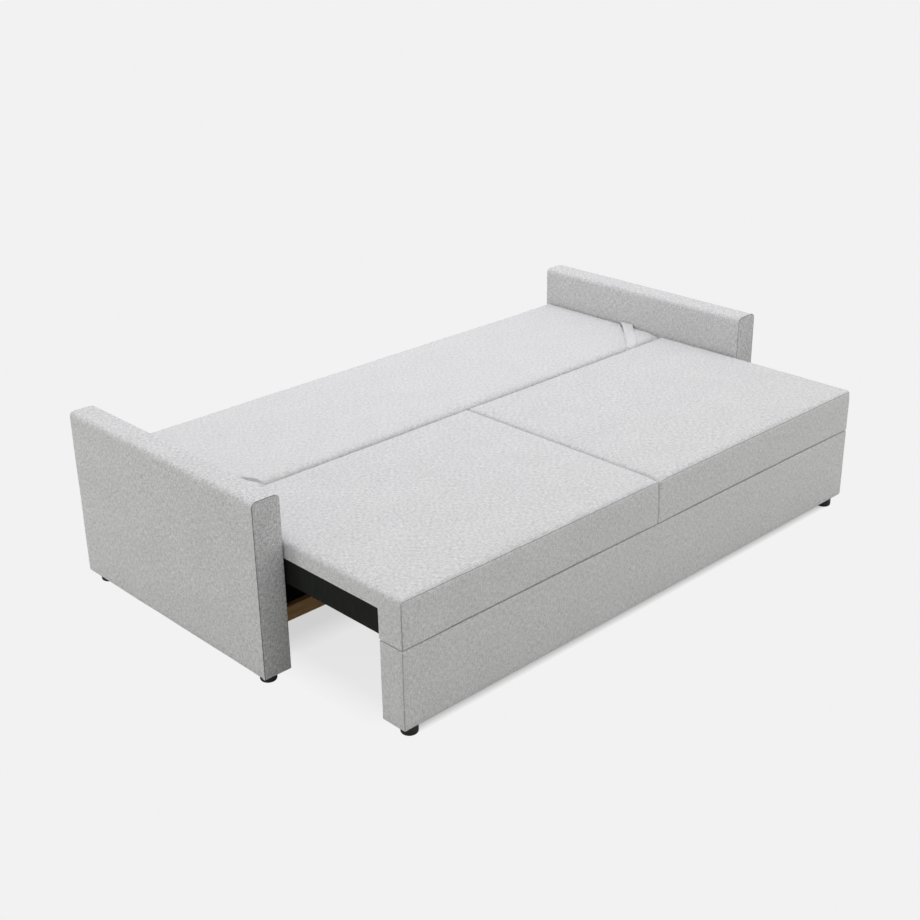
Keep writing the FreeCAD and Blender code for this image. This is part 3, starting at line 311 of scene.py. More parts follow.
woods = {(look, axis): wood(f"{look}_wood_{axis}", colours, along)
         for look, colours in (("raw", RAW), ("brown", BROWN), ("black", BLACK))
         for axis, along in (("x", ALONG_X), ("y", ALONG_Y), ("z", ALONG_Z))}
black_plastic = material("black_plastic", plain_tree, {
    "Colour": (0.012, 0.012, 0.012, 1), "Worn": (0.04, 0.04, 0.04, 1), "Gloss": 0.35})
grey_plastic = material("grey_plastic", plain_tree, {
    "Colour": (0.55, 0.55, 0.53, 1), "Worn": (0.40, 0.40, 0.38, 1), "Gloss": 0.4})
zinc = material("zinc_steel", plain_tree, {
    "Colour": (0.62, 0.62, 0.63, 1), "Worn": (0.48, 0.47, 0.45, 1), "Gloss": 0.28, "Grain": 300.0},
    metallic=1.0)
black_steel = material("black_steel", plain_tree, {
    "Colour": (0.025, 0.025, 0.026, 1), "Worn": (0.10, 0.10, 0.10, 1), "Gloss": 0.4, "Grain": 500.0})
webbing_cloth = material("elastic_webbing", plain_tree, {
    "Colour": (0.05, 0.05, 0.055, 1), "Worn": (0.12, 0.12, 0.12, 1), "Gloss": 0.7, "Grain": 700.0,
    "Depth": 0.8})


# ---------------------------------------------------------------- materials of the CAD pieces that stay
def give(names, look):
    for name in names:
        piece = nodes[name]
        piece.data.materials.clear()
        piece.data.materials.append(look)


SIDES = (("left", -1), ("right", 1))
give(["side_rail_left", "side_rail_right"], woods["black", "z"])
give(["well_floor"], woods["black", "x"])
give(["runner_left", "runner_right"], woods["black", "y"])
give(["front_cross_rail"], woods["brown", "x"])
give(["rear_cross_rail_lower", "rear_cross_rail_upper", "front_rail", "rear_rail", "fascia_board",
      "fascia_bottom_rail", "back_front_rail", "back_rear_rail", "slats_left", "slats_right"],
     woods["raw", "x"])
give(["floor_bearer", "centre_rail", "back_stile_left", "back_stile_right", "back_stile_centre",
      "arm_frame_left", "arm_frame_right"], woods["raw", "y"])
give(["front_post_left", "front_post_right", "front_post_centre"], woods["raw", "z"])
give([n for n in nodes if "glide" in n], black_plastic)
give(["roller_left", "roller_right", "pivot_bush_left", "pivot_bush_right"], grey_plastic)
give(["roller_bolt_left", "roller_bolt_right", "frame_bolts", "bracket_screws", "pivot_washers",
      "pivot_stud_left", "pivot_stud_right"], zinc)
give([n for n in nodes if n.startswith("back_rest_bracket")], black_steel)
give(["back_webbing"], webbing_cloth)


# ---------------------------------------------------------------- mesh helpers
def smooth_step(x):
    x = np.clip(x, 0.0, 1.0)
    return x * x * (3 - 2 * x)


def bell(distance, width):
    """1 at no distance, fading to almost nothing at twice the width."""
    return np.exp(-(distance / width) ** 2)


def towards(value, limit, width):
    """0 until the value comes within this width of the limit, 1 at the limit."""
    return smooth_step((value - limit + width) / width)


def arch(share, power=2):
    """0 at shares of 0 and 1, and 1 halfway."""
    return 1 - (2 * share - 1) ** power


def wave(along, length, phase):
    return np.sin(2 * math.pi * along / length + phase)


def wobble(a, b, seed, pitch):
    """Smooth, repeatable unevenness over two coordinates, between about -1 and 1."""
    rng = np.random.default_rng(seed)
    total = np.zeros_like(a)
    for _ in range(7):
        angle = rng.uniform(0, 2 * math.pi)
        length = pitch * rng.uniform(0.55, 1.9)
        total += wave(a * math.cos(angle) + b * math.sin(angle), length, rng.uniform(0, 2 * math.pi))
    return total / 3.5


def creases(along, depth, seed, pitch, reach):
    """Short puckers that run away from a seam: uneven ridges along it that fade within reach."""
    rng = np.random.default_rng(seed)
    total = np.zeros_like(along)
    for _ in range(5):
        length = pitch * rng.uniform(0.6, 1.6)
        total += wave(along, length, rng.uniform(0, 2 * math.pi))
    fade = bell(depth, reach) * smooth_step(depth / (0.15 * reach))
    patches = 0.5 + 0.5 * wave(along, pitch * 6.3, seed)
    return total / 3.0 * fade * patches


def prism(profile, x0, x1):
    """A closed solid: a (y, z) outline carried from x0 to x1."""
    bm = bmesh.new()
    ring = [bm.verts.new((x0, y, z)) for y, z in profile]
    face = bm.faces.new(ring)
    grown = bmesh.ops.extrude_face_region(bm, geom=[face])
    for vert in (g for g in grown["geom"] if isinstance(g, bmesh.types.BMVert)):
        vert.co.x = x1
    bmesh.ops.recalc_face_normals(bm, faces=bm.faces)
    return bm


NEAR, WELD = 1e-5, 1e-6     # closer than this, two places count as one, and two points are made one
SHARP = math.radians(50)


def on(edge, axis, spot):
    return all(abs(v.co[axis] - spot) < NEAR for v in edge.verts)


def upright(edge):
    a, b = edge.verts
    return abs(a.co.x - b.co.x) < NEAR and abs(a.co.y - b.co.y) < NEAR


def lengthwise(edge):
    a, b = edge.verts
    return abs(a.co.x - b.co.x) < NEAR and abs(a.co.z - b.co.z) < NEAR


def round_edges(bm, radius, segments, test):
    picked = [e for e in bm.edges if test(e)]
    bmesh.ops.bevel(bm, geom=picked, offset=radius, offset_type="OFFSET", affect="EDGES",
                    segments=segments, profile=0.5, material=-1, clamp_overlap=False)


def slice_at(bm, at, normal):
    bmesh.ops.bisect_plane(bm, geom=bm.verts[:] + bm.edges[:] + bm.faces[:], dist=WELD,
                           plane_co=at, plane_no=normal)


def slice_up(bm, axis, spots):
    normal = [0, 0, 0]
    normal[axis] = 1
    for spot in spots:
        slice_at(bm, [spot if k == axis else 0 for k in range(3)], normal)


def even(low, high, pitch):
    count = max(2, round((high - low) / pitch))
    return [low + (high - low) * k / count for k in range(count + 1)]


def to_piece(bm, name, look):
    mesh = bpy.data.meshes.new(name)
    bmesh.ops.remove_doubles(bm, verts=bm.verts, dist=WELD)
    bm.to_mesh(mesh)
    bm.free()
    piece = add_object(name, mesh)
    mesh.materials.append(look)
    return piece


def shade(piece):
    """Smooth over rounded edges and crisp at square ones."""
    piece.data.shade_smooth()
    piece.data.set_sharp_from_angle(angle=SHARP)


def points_of(piece):
    flat = np.empty(len(piece.data.vertices) * 3)
    piece.data.vertices.foreach_get("co", flat)
    return flat.reshape(-1, 3)


def set_points(piece, points):
    piece.data.vertices.foreach_set("co", np.ascontiguousarray(points).ravel())
    piece.data.update()


def place(piece, x, y, z, sign=1):
    """Sets the points of a piece that was shaped as the right one; a sign of -1 mirrors it to the left."""
    set_points(piece, np.stack([x * sign, y, z], axis=1))
    if sign < 0:
        piece.data.flip_normals()


def apply_modifiers(piece):
    graph = bpy.context.evaluated_depsgraph_get()
    made = bpy.data.meshes.new_from_object(piece.evaluated_get(graph))
    old = piece.data
    piece.modifiers.clear()
    piece.data = made
    bpy.data.meshes.remove(old)
    made.name = piece.name


def crease(piece, test):
    """Edges whose two ends both pass the test stay crisp when the piece is subdivided."""
    mesh = piece.data
    ends = np.empty(len(mesh.edges) * 2, dtype=np.int64)
    mesh.edges.foreach_get("vertices", ends)
    a, b = ends.reshape(-1, 2).T
    p = points_of(piece)
    layer = mesh.attributes.new("crease_edge", "FLOAT", "EDGE")
    layer.data.foreach_set("value", test(p[a], p[b]).astype(np.float32))


def subdivide(piece, levels=1):
    modifier = piece.modifiers.new("finer", "SUBSURF")
    modifier.levels = levels
    modifier.render_levels = levels
    apply_modifiers(piece)
    shade(piece)


UPWARD = 1.02               # above 1, so that a face at 45 degrees counts as looking up
SHEETS_APART = (3.1, 1.7)   # shifts the cloth between the three directions, so that it doesn't repeat


def unwrap(piece, shift=(0.0, 0.0)):
    """Cloth coordinates in metres, laid on each face from the side it looks to."""
    mesh = piece.data
    layer = mesh.uv_layers.get("cloth") or mesh.uv_layers.new(name="cloth")
    points = points_of(piece)
    count = len(mesh.loops)
    corner = np.empty(count, dtype=np.int64)
    mesh.loops.foreach_get("vertex_index", corner)
    normal = np.empty(len(mesh.polygons) * 3)
    mesh.polygons.foreach_get("normal", normal)
    normal = np.abs(normal.reshape(-1, 3))
    totals = np.empty(len(mesh.polygons), dtype=np.int64)
    mesh.polygons.foreach_get("loop_total", totals)
    facing = np.repeat(np.argmax(normal * np.array([1.0, 1.0, UPWARD]), axis=1), totals)
    at = points[corner]
    u = np.where(facing == 0, at[:, 1], at[:, 0])
    v = np.where(facing == 2, at[:, 1], at[:, 2])
    u, v = (part + shift[k] + facing * SHEETS_APART[k] for k, part in enumerate((u, v)))
    layer.data.foreach_set("uv", np.stack([u, v], axis=1).ravel())


def stays(piece, body, slot, *replaced):
    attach(piece, body)
    if replaced:
        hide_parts(*replaced)


def surface_of(piece):
    mesh = piece.data
    points = points_of(piece)
    return BVHTree.FromPolygons([tuple(p) for p in points], [tuple(f.vertices) for f in mesh.polygons])


def tube(name, path, radius, look, sides=6):
    """A thin round tube along points, for a seam of cloth; radius is one number or one for each point."""
    bm = bmesh.new()
    path = [Vector(p) for p in path]
    count = len(path)
    radii = np.broadcast_to(radius, count)
    rings = []
    lift = None
    for k, at in enumerate(path):
        along = (path[min(k + 1, count - 1)] - path[max(k - 1, 0)]).normalized()
        if lift is None:
            lift = along.orthogonal().normalized()
        lift = (lift - along * lift.dot(along)).normalized()
        cross = along.cross(lift)
        rings.append([bm.verts.new(at + float(radii[k]) * (math.cos(a) * lift + math.sin(a) * cross))
                      for a in (2 * math.pi * s / sides for s in range(sides))])
    for one, two in zip(rings, rings[1:]):
        for s in range(sides):
            bm.faces.new((one[s], one[(s + 1) % sides], two[(s + 1) % sides], two[s]))
    bm.faces.new(rings[0][::-1])
    bm.faces.new(rings[-1])
    bmesh.ops.recalc_face_normals(bm, faces=bm.faces)
    piece = to_piece(bm, name, look)
    shade(piece)
    unwrap(piece)
    return piece


def laid_on(tree, path, sink):
    """Points dropped on the nearest spot of a surface, then sunk a little."""
    spots = []
    for at in path:
        spot, normal = tree.find_nearest(Vector(at))[:2]
        spots.append(spot - normal * sink)
    return spots


def line(a, b, pitch=6 * MM):
    a, b = Vector(a), Vector(b)
    count = max(2, round((b - a).length / pitch))
    return [a.lerp(b, k / count) for k in range(count + 1)]


SIM_FRAMES = 20
CLOTH_SETTINGS = {"quality": 5, "mass": 0.3, "tension_stiffness": 18, "compression_stiffness": 18,
                  "bending_stiffness": 0.5, "use_pressure": True, "uniform_pressure_force": 4,
                  "vertex_group_mass": "held"}
HOLD_LEVELS = np.linspace(0.1, 1.0, 10)
NEIGHBOURS = 4


def limited(moved, cap):
    """Moves no longer than the cap, the small ones nearly as they were."""
    longest = np.linalg.norm(moved, axis=1).max()
    if longest < 2 * cap:
        moved = moved * (cap / max(longest, cap))
    size = np.linalg.norm(moved, axis=1)
    return moved * (cap * np.tanh(size / cap) / np.maximum(size, 1e-9))[:, None]


def carried_over(rest, moved, points):
    """The moves of the nearest simulated points, weighted by nearness, for each point of the piece."""
    tree = KDTree(len(rest))
    for k, at in enumerate(rest):
        tree.insert(at, k)
    tree.balance()
    out = np.empty_like(points)
    for k, at in enumerate(points):
        found = tree.find_n(at, NEIGHBOURS)
        weight = np.array([1 / (gap + 1e-4) for spot, index, gap in found])
        out[k] = (moved[[index for spot, index, gap in found]] * weight[:, None]).sum(0) / weight.sum()
    return out


def puffed(piece, cap, voxel, held, spare=0.02):
    """How far cloth over this shape moves when it is blown up, for each point of the piece.

    held(points) is 1 where the cloth is sewn or stapled down and 0 where it is free.
    """
    points = points_of(piece)
    trial = add_object("trial", piece.data.copy())
    remesh = trial.modifiers.new("even_mesh", "REMESH")
    remesh.mode = "VOXEL"
    remesh.voxel_size = voxel
    apply_modifiers(trial)
    rest = points_of(trial)
    group = trial.vertex_groups.new(name="held")
    hold = held(rest)
    for level in HOLD_LEVELS:
        picked = np.nonzero(np.abs(hold - level) <= 0.05)[0]
        if len(picked):
            group.add([int(i) for i in picked], float(level), "REPLACE")
    cloth = trial.modifiers.new("cloth", "CLOTH")
    for key, setting in CLOTH_SETTINGS.items():
        setattr(cloth.settings, key, setting)
    cloth.settings.shrink_min = -spare
    cloth.settings.effector_weights.gravity = 0
    cloth.collision_settings.use_collision = False
    cloth.point_cache.frame_start = 1
    cloth.point_cache.frame_end = SIM_FRAMES
    for number in range(1, SIM_FRAMES + 1):
        bpy.context.scene.frame_set(number)
    apply_modifiers(trial)
    out = carried_over(rest, limited(points_of(trial) - rest, cap), points)
    old = trial.data
    bpy.data.objects.remove(trial)
    bpy.data.meshes.remove(old)
    bpy.context.scene.frame_set(1)
    return out


# ---------------------------------------------------------------- sizes read from the frame
low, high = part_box("arm_cover_right")
ARM_IN, ARM_OUT, ARM_REAR, ARM_LOW, ARM_TOP = low[0], high[0], high[1], low[2], high[2]
low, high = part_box("arm_front_pad_right")
ARM_FRONT, PAD_BACK = low[1], high[1]
low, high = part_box("seat_cushion_right")
CUSH_IN, CUSH_OUT, SEAT_FRONT, SEAT_REAR = low[0], high[0], low[1], high[1]
BORDER_LOW = low[2]
CUSH_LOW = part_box("side_rail_right")[1][2] + 0.3 * MM
low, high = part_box("fascia_cover")
FASCIA_LOW, FASCIA_TOP, BORDER_BACK = low[2], high[2], high[1]
low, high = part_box("back_cover")
BACK_FRONT, BACK_REAR, BACK_LOW = low[1], high[1], low[2]
CUSH_TOP = 414 * MM
BACK_TOP = CUSH_TOP + 4 * MM


def tighten(offset, radius, power):
    """Moves points on a quarter round towards its corner; offset holds the two depths past its start."""
    a, b = np.clip(offset[0], 0, None) / radius, np.clip(offset[1], 0, None) / radius
    inside = (a > 0) & (b > 0)
    plain = np.hypot(a, b)
    fuller = (a ** power + b ** power) ** (1 / power)
    grow = np.where(inside, plain / np.maximum(fuller, 1e-9), 1.0)
    return (np.where(inside, a * (grow - 1) * radius, 0), np.where(inside, b * (grow - 1) * radius, 0))


# ---------------------------------------------------------------- seat cushions
REAR_SWELL = 6.5 * MM     # how far a cushion's rear side swells towards the backrest
MEETING = 1.2 * MM        # how far each cushion presses into the gap between the two, low down
LENGTH, DEPTH = 0.99, 0.79


def seat_cushion(side, sign, seed):
    """A cushion whose front hangs down as a border, shaped as the right one."""
    crown, r, pitch, rim_width = 7.0 * MM, 13 * MM, 14 * MM, 12 * MM
    still_below = CUSH_TOP - 30 * MM
    profile = [(SEAT_FRONT, BORDER_LOW), (BORDER_BACK, BORDER_LOW), (BORDER_BACK, CUSH_LOW),
               (SEAT_REAR, CUSH_LOW), (SEAT_REAR, CUSH_TOP), (SEAT_FRONT, CUSH_TOP)]
    bm = prism(profile, CUSH_IN, CUSH_OUT)
    round_edges(bm, r, 5, lambda e: on(e, 2, CUSH_TOP) or (
        upright(e) and (on(e, 1, SEAT_FRONT) or on(e, 1, SEAT_REAR))))
    slice_up(bm, 0, even(CUSH_IN + r, CUSH_OUT - r, pitch))
    slice_up(bm, 1, [SEAT_FRONT + r, BORDER_BACK] + even(BORDER_BACK + 10 * MM, SEAT_REAR - r, pitch))
    slice_up(bm, 1, even(SEAT_FRONT + r, BORDER_BACK, pitch))
    slice_up(bm, 2, [CUSH_LOW] + even(BORDER_LOW + 3 * MM, CUSH_TOP - r, 13 * MM))
    piece = to_piece(bm, "cushion_" + side, seat_cloth)
    p = points_of(piece)
    rest = p.copy()

    def sewn(q):
        s = np.minimum(q[:, 0] - CUSH_IN, CUSH_OUT - q[:, 0])
        t = np.minimum(q[:, 1] - SEAT_FRONT, SEAT_REAR - q[:, 1])
        front_seam = bell(np.hypot(q[:, 1] - SEAT_FRONT, q[:, 2] - CUSH_TOP + 6 * MM), rim_width)
        border = (q[:, 1] < SEAT_FRONT + rim_width) & (q[:, 2] > BORDER_LOW + rim_width)
        hidden = (q[:, 2] < still_below) & ~border
        return np.where(hidden, 1.0, np.maximum(front_seam, 0.9 * bell(np.minimum(s, t), rim_width)))

    p += puffed(piece, 4.5 * MM, 10 * MM, sewn)
    x, y, z = p.T
    x0, y0, z0 = rest.T
    s = (x0 - CUSH_IN) / (CUSH_OUT - CUSH_IN)
    t = (y0 - SEAT_FRONT) / (SEAT_REAR - SEAT_FRONT)

    # edges and corners that stand fuller than a plain round
    dy, dz = tighten((y0 - SEAT_REAR + r, z0 - CUSH_TOP + r), r, 4.5)
    y += dy
    z += dz
    dx, dz = tighten((CUSH_IN + r - x0, z0 - CUSH_TOP + r), r, 2.3)
    x -= dx
    z += dz
    dx, dy = tighten((CUSH_IN + r - x0, SEAT_FRONT + r - y0), r, 8.0)
    closed = smooth_step((CUSH_TOP - 20 * MM - z0) / (30 * MM))
    x -= dx * closed
    y -= dy * closed
    dx, dy = tighten((x0 - CUSH_OUT + r, SEAT_FRONT + r - y0), r, 3.4)
    level = smooth_step((CUSH_TOP - r - z0) / (20 * MM))
    x += dx * level
    y -= dy * level

    # the top: a crown, unevenness, a fall at the inner front corner, puckers along the front seam
    lifted = towards(z0, CUSH_TOP, 12 * MM)
    from_edge = np.minimum(np.minimum(s, 1 - s) * LENGTH, np.minimum(t, 1 - t) * DEPTH)
    uneven = 1.1 * MM * wobble(x0, y0, seed, 0.33) * smooth_step(from_edge / 0.10)
    z += lifted * (crown * np.clip(arch(s) * arch(t), 0, 1) ** 0.75 + uneven)
    z -= lifted * 7.0 * MM * bell(np.hypot(x0 - CUSH_IN, y0 - SEAT_FRONT), 24 * MM)
    z += lifted * 0.9 * MM * creases(x0, np.clip(y0 - SEAT_FRONT, 0, None), seed + 5, 0.065, 0.035)

    # the sides: drawn in at the middle, a full and creased border, a swollen rear, an even outer end
    draw = 2.5 * MM * arch(s)
    y += np.where(t < 0.5, draw * (1 - t * 2), -draw * (2 * t - 1))
    front = smooth_step(1 - t / 0.02)
    tall = (z0 - BORDER_LOW) / (CUSH_TOP - BORDER_LOW)
    y -= front * 2.0 * MM * np.clip(arch(tall), 0, 1) * arch(s, 8)
    y += front * (0.6 * MM * wobble(x0, z0, seed + 9, 0.16)
                  + 0.7 * MM * creases(x0, CUSH_TOP - 6 * MM - z0, seed + 7, 0.06, 0.045))
    below = CUSH_TOP - z0
    bulge = smooth_step((below - 1 * MM) / (10 * MM)) * (1 - smooth_step((below - 28 * MM) / (20 * MM)))
    y += REAR_SWELL * towards(y0, SEAT_REAR, 10 * MM) * bulge
    x += towards(x0, CUSH_OUT, 6 * MM) * (0.4 * MM * wobble(y0, z0, seed + 2, 0.12) - 0.3 * MM)
    x -= MEETING * closed * towards(-x0, -CUSH_IN, 8 * MM)
    x = np.clip(x, CUSH_IN - MEETING, CUSH_OUT)
    y = np.clip(y, SEAT_FRONT, SEAT_REAR + REAR_SWELL)
    z = np.where(z0 < still_below, z0, np.clip(z, BORDER_LOW, CUSH_TOP + 10 * MM))
    place(piece, x, y, z, sign)

    def stapled(a, b):
        """Edges of the turned-in border, near the outer end."""
        def both_on(axis, spot):
            return (np.abs(a[:, axis] - spot) < NEAR) & (np.abs(b[:, axis] - spot) < NEAR)

        out_a, out_b = (np.abs(q[:, 0]) > CUSH_OUT - 3 * MM for q in (a, b))
        return (both_on(1, BORDER_BACK) | both_on(2, CUSH_LOW) | both_on(2, BORDER_LOW)) & out_a & out_b

    crease(piece, stapled)
    subdivide(piece)
    unwrap(piece, (0.37 * seed, 0.11 * seed))
    stays(piece, "seat", "seat_cloth", "seat_cushion_" + side)
    surface = surface_of(piece)
    # each seam is a tube in the dark seam colour, which is painted shade
    seams = {    # each with its two ends and its radius in mm
        "front": ((CUSH_IN + 4 * MM, SEAT_FRONT, CUSH_TOP - 4 * MM),
                  (CUSH_OUT - 6 * MM, SEAT_FRONT, CUSH_TOP - 4 * MM), 0.8),
        "corner": ((CUSH_OUT, SEAT_FRONT, CUSH_TOP - 10 * MM), (CUSH_OUT, SEAT_FRONT, BORDER_LOW), 0.8),
        "rear": ((CUSH_IN + 4 * MM, SEAT_REAR, CUSH_TOP), (CUSH_OUT - 4 * MM, SEAT_REAR, CUSH_TOP), 0.6)}
    for name, (first, last, radius) in seams.items():
        path = [(sign * q[0], q[1], q[2]) for q in line(first, last)]
        seam = tube(f"cushion_seam_{name}_{side}", laid_on(surface, path, radius * 0.35 * MM),
                    radius * MM, seam_cloth_painted_shade)
        stays(seam, "seat", "seat_cloth")


for number, (side, sign) in enumerate(SIDES):
    seat_cushion(side, sign, 11 + 7 * number)


# ---------------------------------------------------------------- arms
def arm(side, sign, seed):
    """An arm's cover, its flat front pad and the seam round the pad, shaped as the right ones."""
    x0, x1 = ARM_IN, ARM_OUT
    r, rear, pitch = 18 * MM, 7 * MM, 18 * MM
    bm = prism([(PAD_BACK, ARM_LOW), (ARM_REAR, ARM_LOW), (ARM_REAR, ARM_TOP), (PAD_BACK, ARM_TOP)], x0, x1)
    round_edges(bm, r, 6, lambda e: on(e, 2, ARM_TOP) and lengthwise(e))
    round_edges(bm, rear, 3, lambda e: on(e, 1, ARM_REAR) and not on(e, 2, ARM_LOW))
    round_edges(bm, 3 * MM, 2, lambda e: on(e, 2, ARM_LOW) and lengthwise(e))
    slice_up(bm, 1, even(PAD_BACK, ARM_REAR - rear, pitch)[1:])
    slice_up(bm, 2, even(ARM_LOW + 3 * MM, ARM_TOP - r, pitch))
    slice_up(bm, 0, even(x0 + r, x1 - r, pitch))
    piece = to_piece(bm, "arm_upholstery_" + side, arm_cloth)
    x, y, z = points_of(piece).T
    along = np.clip((y - ARM_FRONT) / (ARM_REAR - ARM_FRONT), 0, 1)
    tall = np.clip((z - ARM_LOW) / (ARM_TOP - ARM_LOW), 0, 1)
    full = arch(along, 4)
    side_in, side_out = towards(-x, -x0, 6 * MM), towards(x, x1, 6 * MM)
    hollow = (1 - full * arch(tall, 6)) * 0.9 * MM + 0.3 * MM
    rough = 0.6 * MM * wobble(y, z, seed, 0.26)
    pulls = 0.5 * MM * creases(z, y - PAD_BACK, seed + 1, 0.06, 0.04)
    x += side_in * (hollow + rough * 0.6)
    x -= side_out * (hollow + rough + pulls)
    z -= towards(z, ARM_TOP, 10 * MM) * (
        (1 - full) * 0.5 * MM + 0.3 * MM + 0.5 * MM * wobble(y, x, seed + 3, 0.22))
    place(piece, np.clip(x, x0, x1), y, np.clip(z, ARM_LOW, ARM_TOP), sign)
    shade(piece)
    unwrap(piece, (0.23 * seed, 0.41 * seed))
    stays(piece, "base", "arm_cloth", "arm_cover_" + side)

    bm = prism([(ARM_FRONT, ARM_LOW), (PAD_BACK, ARM_LOW), (PAD_BACK, ARM_TOP), (ARM_FRONT, ARM_TOP)], x0, x1)
    round_edges(bm, r, 6, lambda e: on(e, 2, ARM_TOP) and lengthwise(e))
    round_edges(bm, 2 * MM, 3, lambda e: on(e, 1, ARM_FRONT))
    slice_up(bm, 2, even(ARM_LOW + 2 * MM, ARM_TOP - r, 12 * MM))
    slice_up(bm, 0, even(x0 + r, x1 - r, 9 * MM))
    slice_up(bm, 1, [ARM_FRONT + k * MM for k in (3, 5, 7)])
    pad = to_piece(bm, "arm_front_" + side, pad_cloth_painted_shade)
    # the front face takes the darker pad cloth, which is painted shade; the other faces keep the arm's cloth
    pad.data.materials.append(arm_cloth)
    for face in pad.data.polygons:
        face.material_index = int(face.center.y > ARM_FRONT + 2.01 * MM)

    def sewn(q):
        across = np.minimum(q[:, 0] - x0, x1 - q[:, 0])
        rim = np.minimum(across, np.minimum(q[:, 2] - ARM_LOW, ARM_TOP - q[:, 2]))
        return np.where(q[:, 1] > ARM_FRONT + 3 * MM, 1.0, bell(rim, 8 * MM))

    moved = puffed(pad, 1.2 * MM, 5 * MM, sewn, 0.015)
    x, y, z = points_of(pad).T
    face = smooth_step((ARM_FRONT + 8 * MM - y) / (6 * MM))
    y += face * (1.3 * MM + moved[:, 1] + 0.25 * MM * wobble(x, z, seed + 6, 0.11))
    s = (x - x0) / (x1 - x0)
    x += np.where(s > 0.5, -1, 1) * 0.3 * MM * smooth_step(abs(2 * s - 1))
    place(pad, x, np.clip(y, ARM_FRONT, PAD_BACK), z, sign)
    shade(pad)
    unwrap(pad, (0.57 * seed, 0.29 * seed))
    stays(pad, "base", "arm_cloth", "arm_front_pad_" + side)

    # the seam: up the inner side, over the top and down the outer side, as a tube in the dark seam colour, which
    # is painted shade
    inset, lift, low = 1.1 * MM, ARM_FRONT + 2.1 * MM, ARM_LOW + 2 * MM
    bend = r - inset

    def bent(centre, first):
        return [Vector((centre - bend * math.cos(a), lift, ARM_TOP - r + bend * math.sin(a)))
                for a in (first + math.pi / 2 * k / 8 for k in range(1, 9))]

    path = line((x0 + inset, lift, low), (x0 + inset, lift, ARM_TOP - r)) + bent(x0 + r, 0)
    path += line((x0 + r, lift, ARM_TOP - inset), (x1 - r, lift, ARM_TOP - inset))[1:]
    path += bent(x1 - r, math.pi / 2)
    path += line((x1 - inset, lift, ARM_TOP - r), (x1 - inset, lift, low))[1:]
    thicker = smooth_step((np.array([q[0] for q in path]) - x0) / (x1 - x0) / 0.25)
    path = [(sign * q[0], q[1], q[2]) for q in path]
    seam = tube("arm_front_seam_" + side, path, (0.7 + 0.45 * thicker) * MM, seam_cloth_painted_shade, 8)
    stays(seam, "base", "arm_cloth")


for number, (side, sign) in enumerate(SIDES):
    arm(side, sign, 31 + 5 * number)


# ---------------------------------------------------------------- fascia
def fascia(seed):
    """The cloth over the board under the seat's front, and a seam down each of its corners."""
    x1, r = CUSH_OUT, 5 * MM
    bm = prism([(SEAT_FRONT, FASCIA_LOW), (BORDER_BACK, FASCIA_LOW), (BORDER_BACK, FASCIA_TOP),
                (SEAT_FRONT, FASCIA_TOP)], -x1, x1)
    round_edges(bm, r, 3, lambda e: True)
    slice_up(bm, 0, even(-x1 + r, x1 - r, 20 * MM))
    slice_up(bm, 2, even(FASCIA_LOW + r, FASCIA_TOP - r, 16 * MM))
    slice_up(bm, 1, even(SEAT_FRONT + r, BORDER_BACK - r, 18 * MM))
    piece = to_piece(bm, "fascia_upholstery", seat_cloth)
    x0, y0, z0 = points_of(piece).T
    x, y, z = x0.copy(), y0.copy(), z0.copy()
    face = smooth_step((SEAT_FRONT + 6 * MM - y) / (5 * MM))
    tall = np.clip((z - FASCIA_LOW) / (FASCIA_TOP - FASCIA_LOW), 0, 1)
    middle = np.clip(1 - (x / x1) ** 10, 0, 1) * np.clip(arch(tall), 0, 1)
    y += face * (2.0 * MM - 1.6 * MM * middle + 0.5 * MM * wobble(x, z, seed, 0.28)
                 + 0.7 * MM * creases(x, FASCIA_TOP - z, seed + 3, 0.07, 0.06))

    # edges that stand fuller than a plain round; depths count from where each rounding starts
    end, top = np.abs(x0) - x1 + r, z0 - FASCIA_TOP + r
    front, rear = SEAT_FRONT + r - y0, y0 - BORDER_BACK + r
    for edge in (top, end):
        y += tighten((rear, edge), r, 6.0)[0]
    x += np.sign(x0) * tighten((end, rear), r, 6.0)[0]
    dy, dz = tighten((front, top), r, 3.0)
    y -= dy
    z += dz
    dx, dz = tighten((end, top), r, 6.0)
    x += np.sign(x0) * dx
    z += dz
    x -= np.sign(x) * towards(np.abs(x), x1, 6 * MM) * (0.4 * MM + 0.3 * MM * wobble(y, z, seed + 1, 0.1))
    place(piece, np.clip(x, -x1, x1), np.clip(y, SEAT_FRONT, BORDER_BACK), np.clip(z, FASCIA_LOW, FASCIA_TOP))
    shade(piece)
    unwrap(piece, (0.77, 0.51))
    stays(piece, "seat", "seat_cloth", "fascia_cover")
    surface = surface_of(piece)
    # the corner seams are tubes in the dark seam colour, which is painted shade
    for side, sign in SIDES:
        corner = line((sign * x1, SEAT_FRONT, FASCIA_TOP - 4 * MM), (sign * x1, SEAT_FRONT, FASCIA_LOW + 4 * MM))
        seam = tube("fascia_seam_" + side, laid_on(surface, corner, 0.3 * MM), 0.7 * MM, seam_cloth_painted_shade)
        stays(seam, "seat", "seat_cloth")


fascia(61)


# ---------------------------------------------------------------- backrest
# The pull straps lie across the front corners. A leg is what a strap cuts off the corner along each edge.
STRAP_LEG, STRAP_WIDTH = 192 * MM, 39 * MM
STRAP_BOW, STRAP_SWELL = {-1: 22 * MM, 1: -3 * MM}, {-1: 3.5 * MM, 1: 0.0}
NOSE, LEAN = 20 * MM, math.radians(35)      # radius of the front edge, and the slope of the side under it
DIAGONAL = math.sqrt(2)
# where the cloth is cut finer along a strap, in mm past the strap's inner edge
STRAP_CUTS = (-16, -9, -5, -2.6, -1.3, -0.5, 0.5, 1.3, 2.4, 3.6, 5.2, 8, 14, 22, 30, 37, 43, 50,
              60, 74, 88, 98, 108, 118, 128)


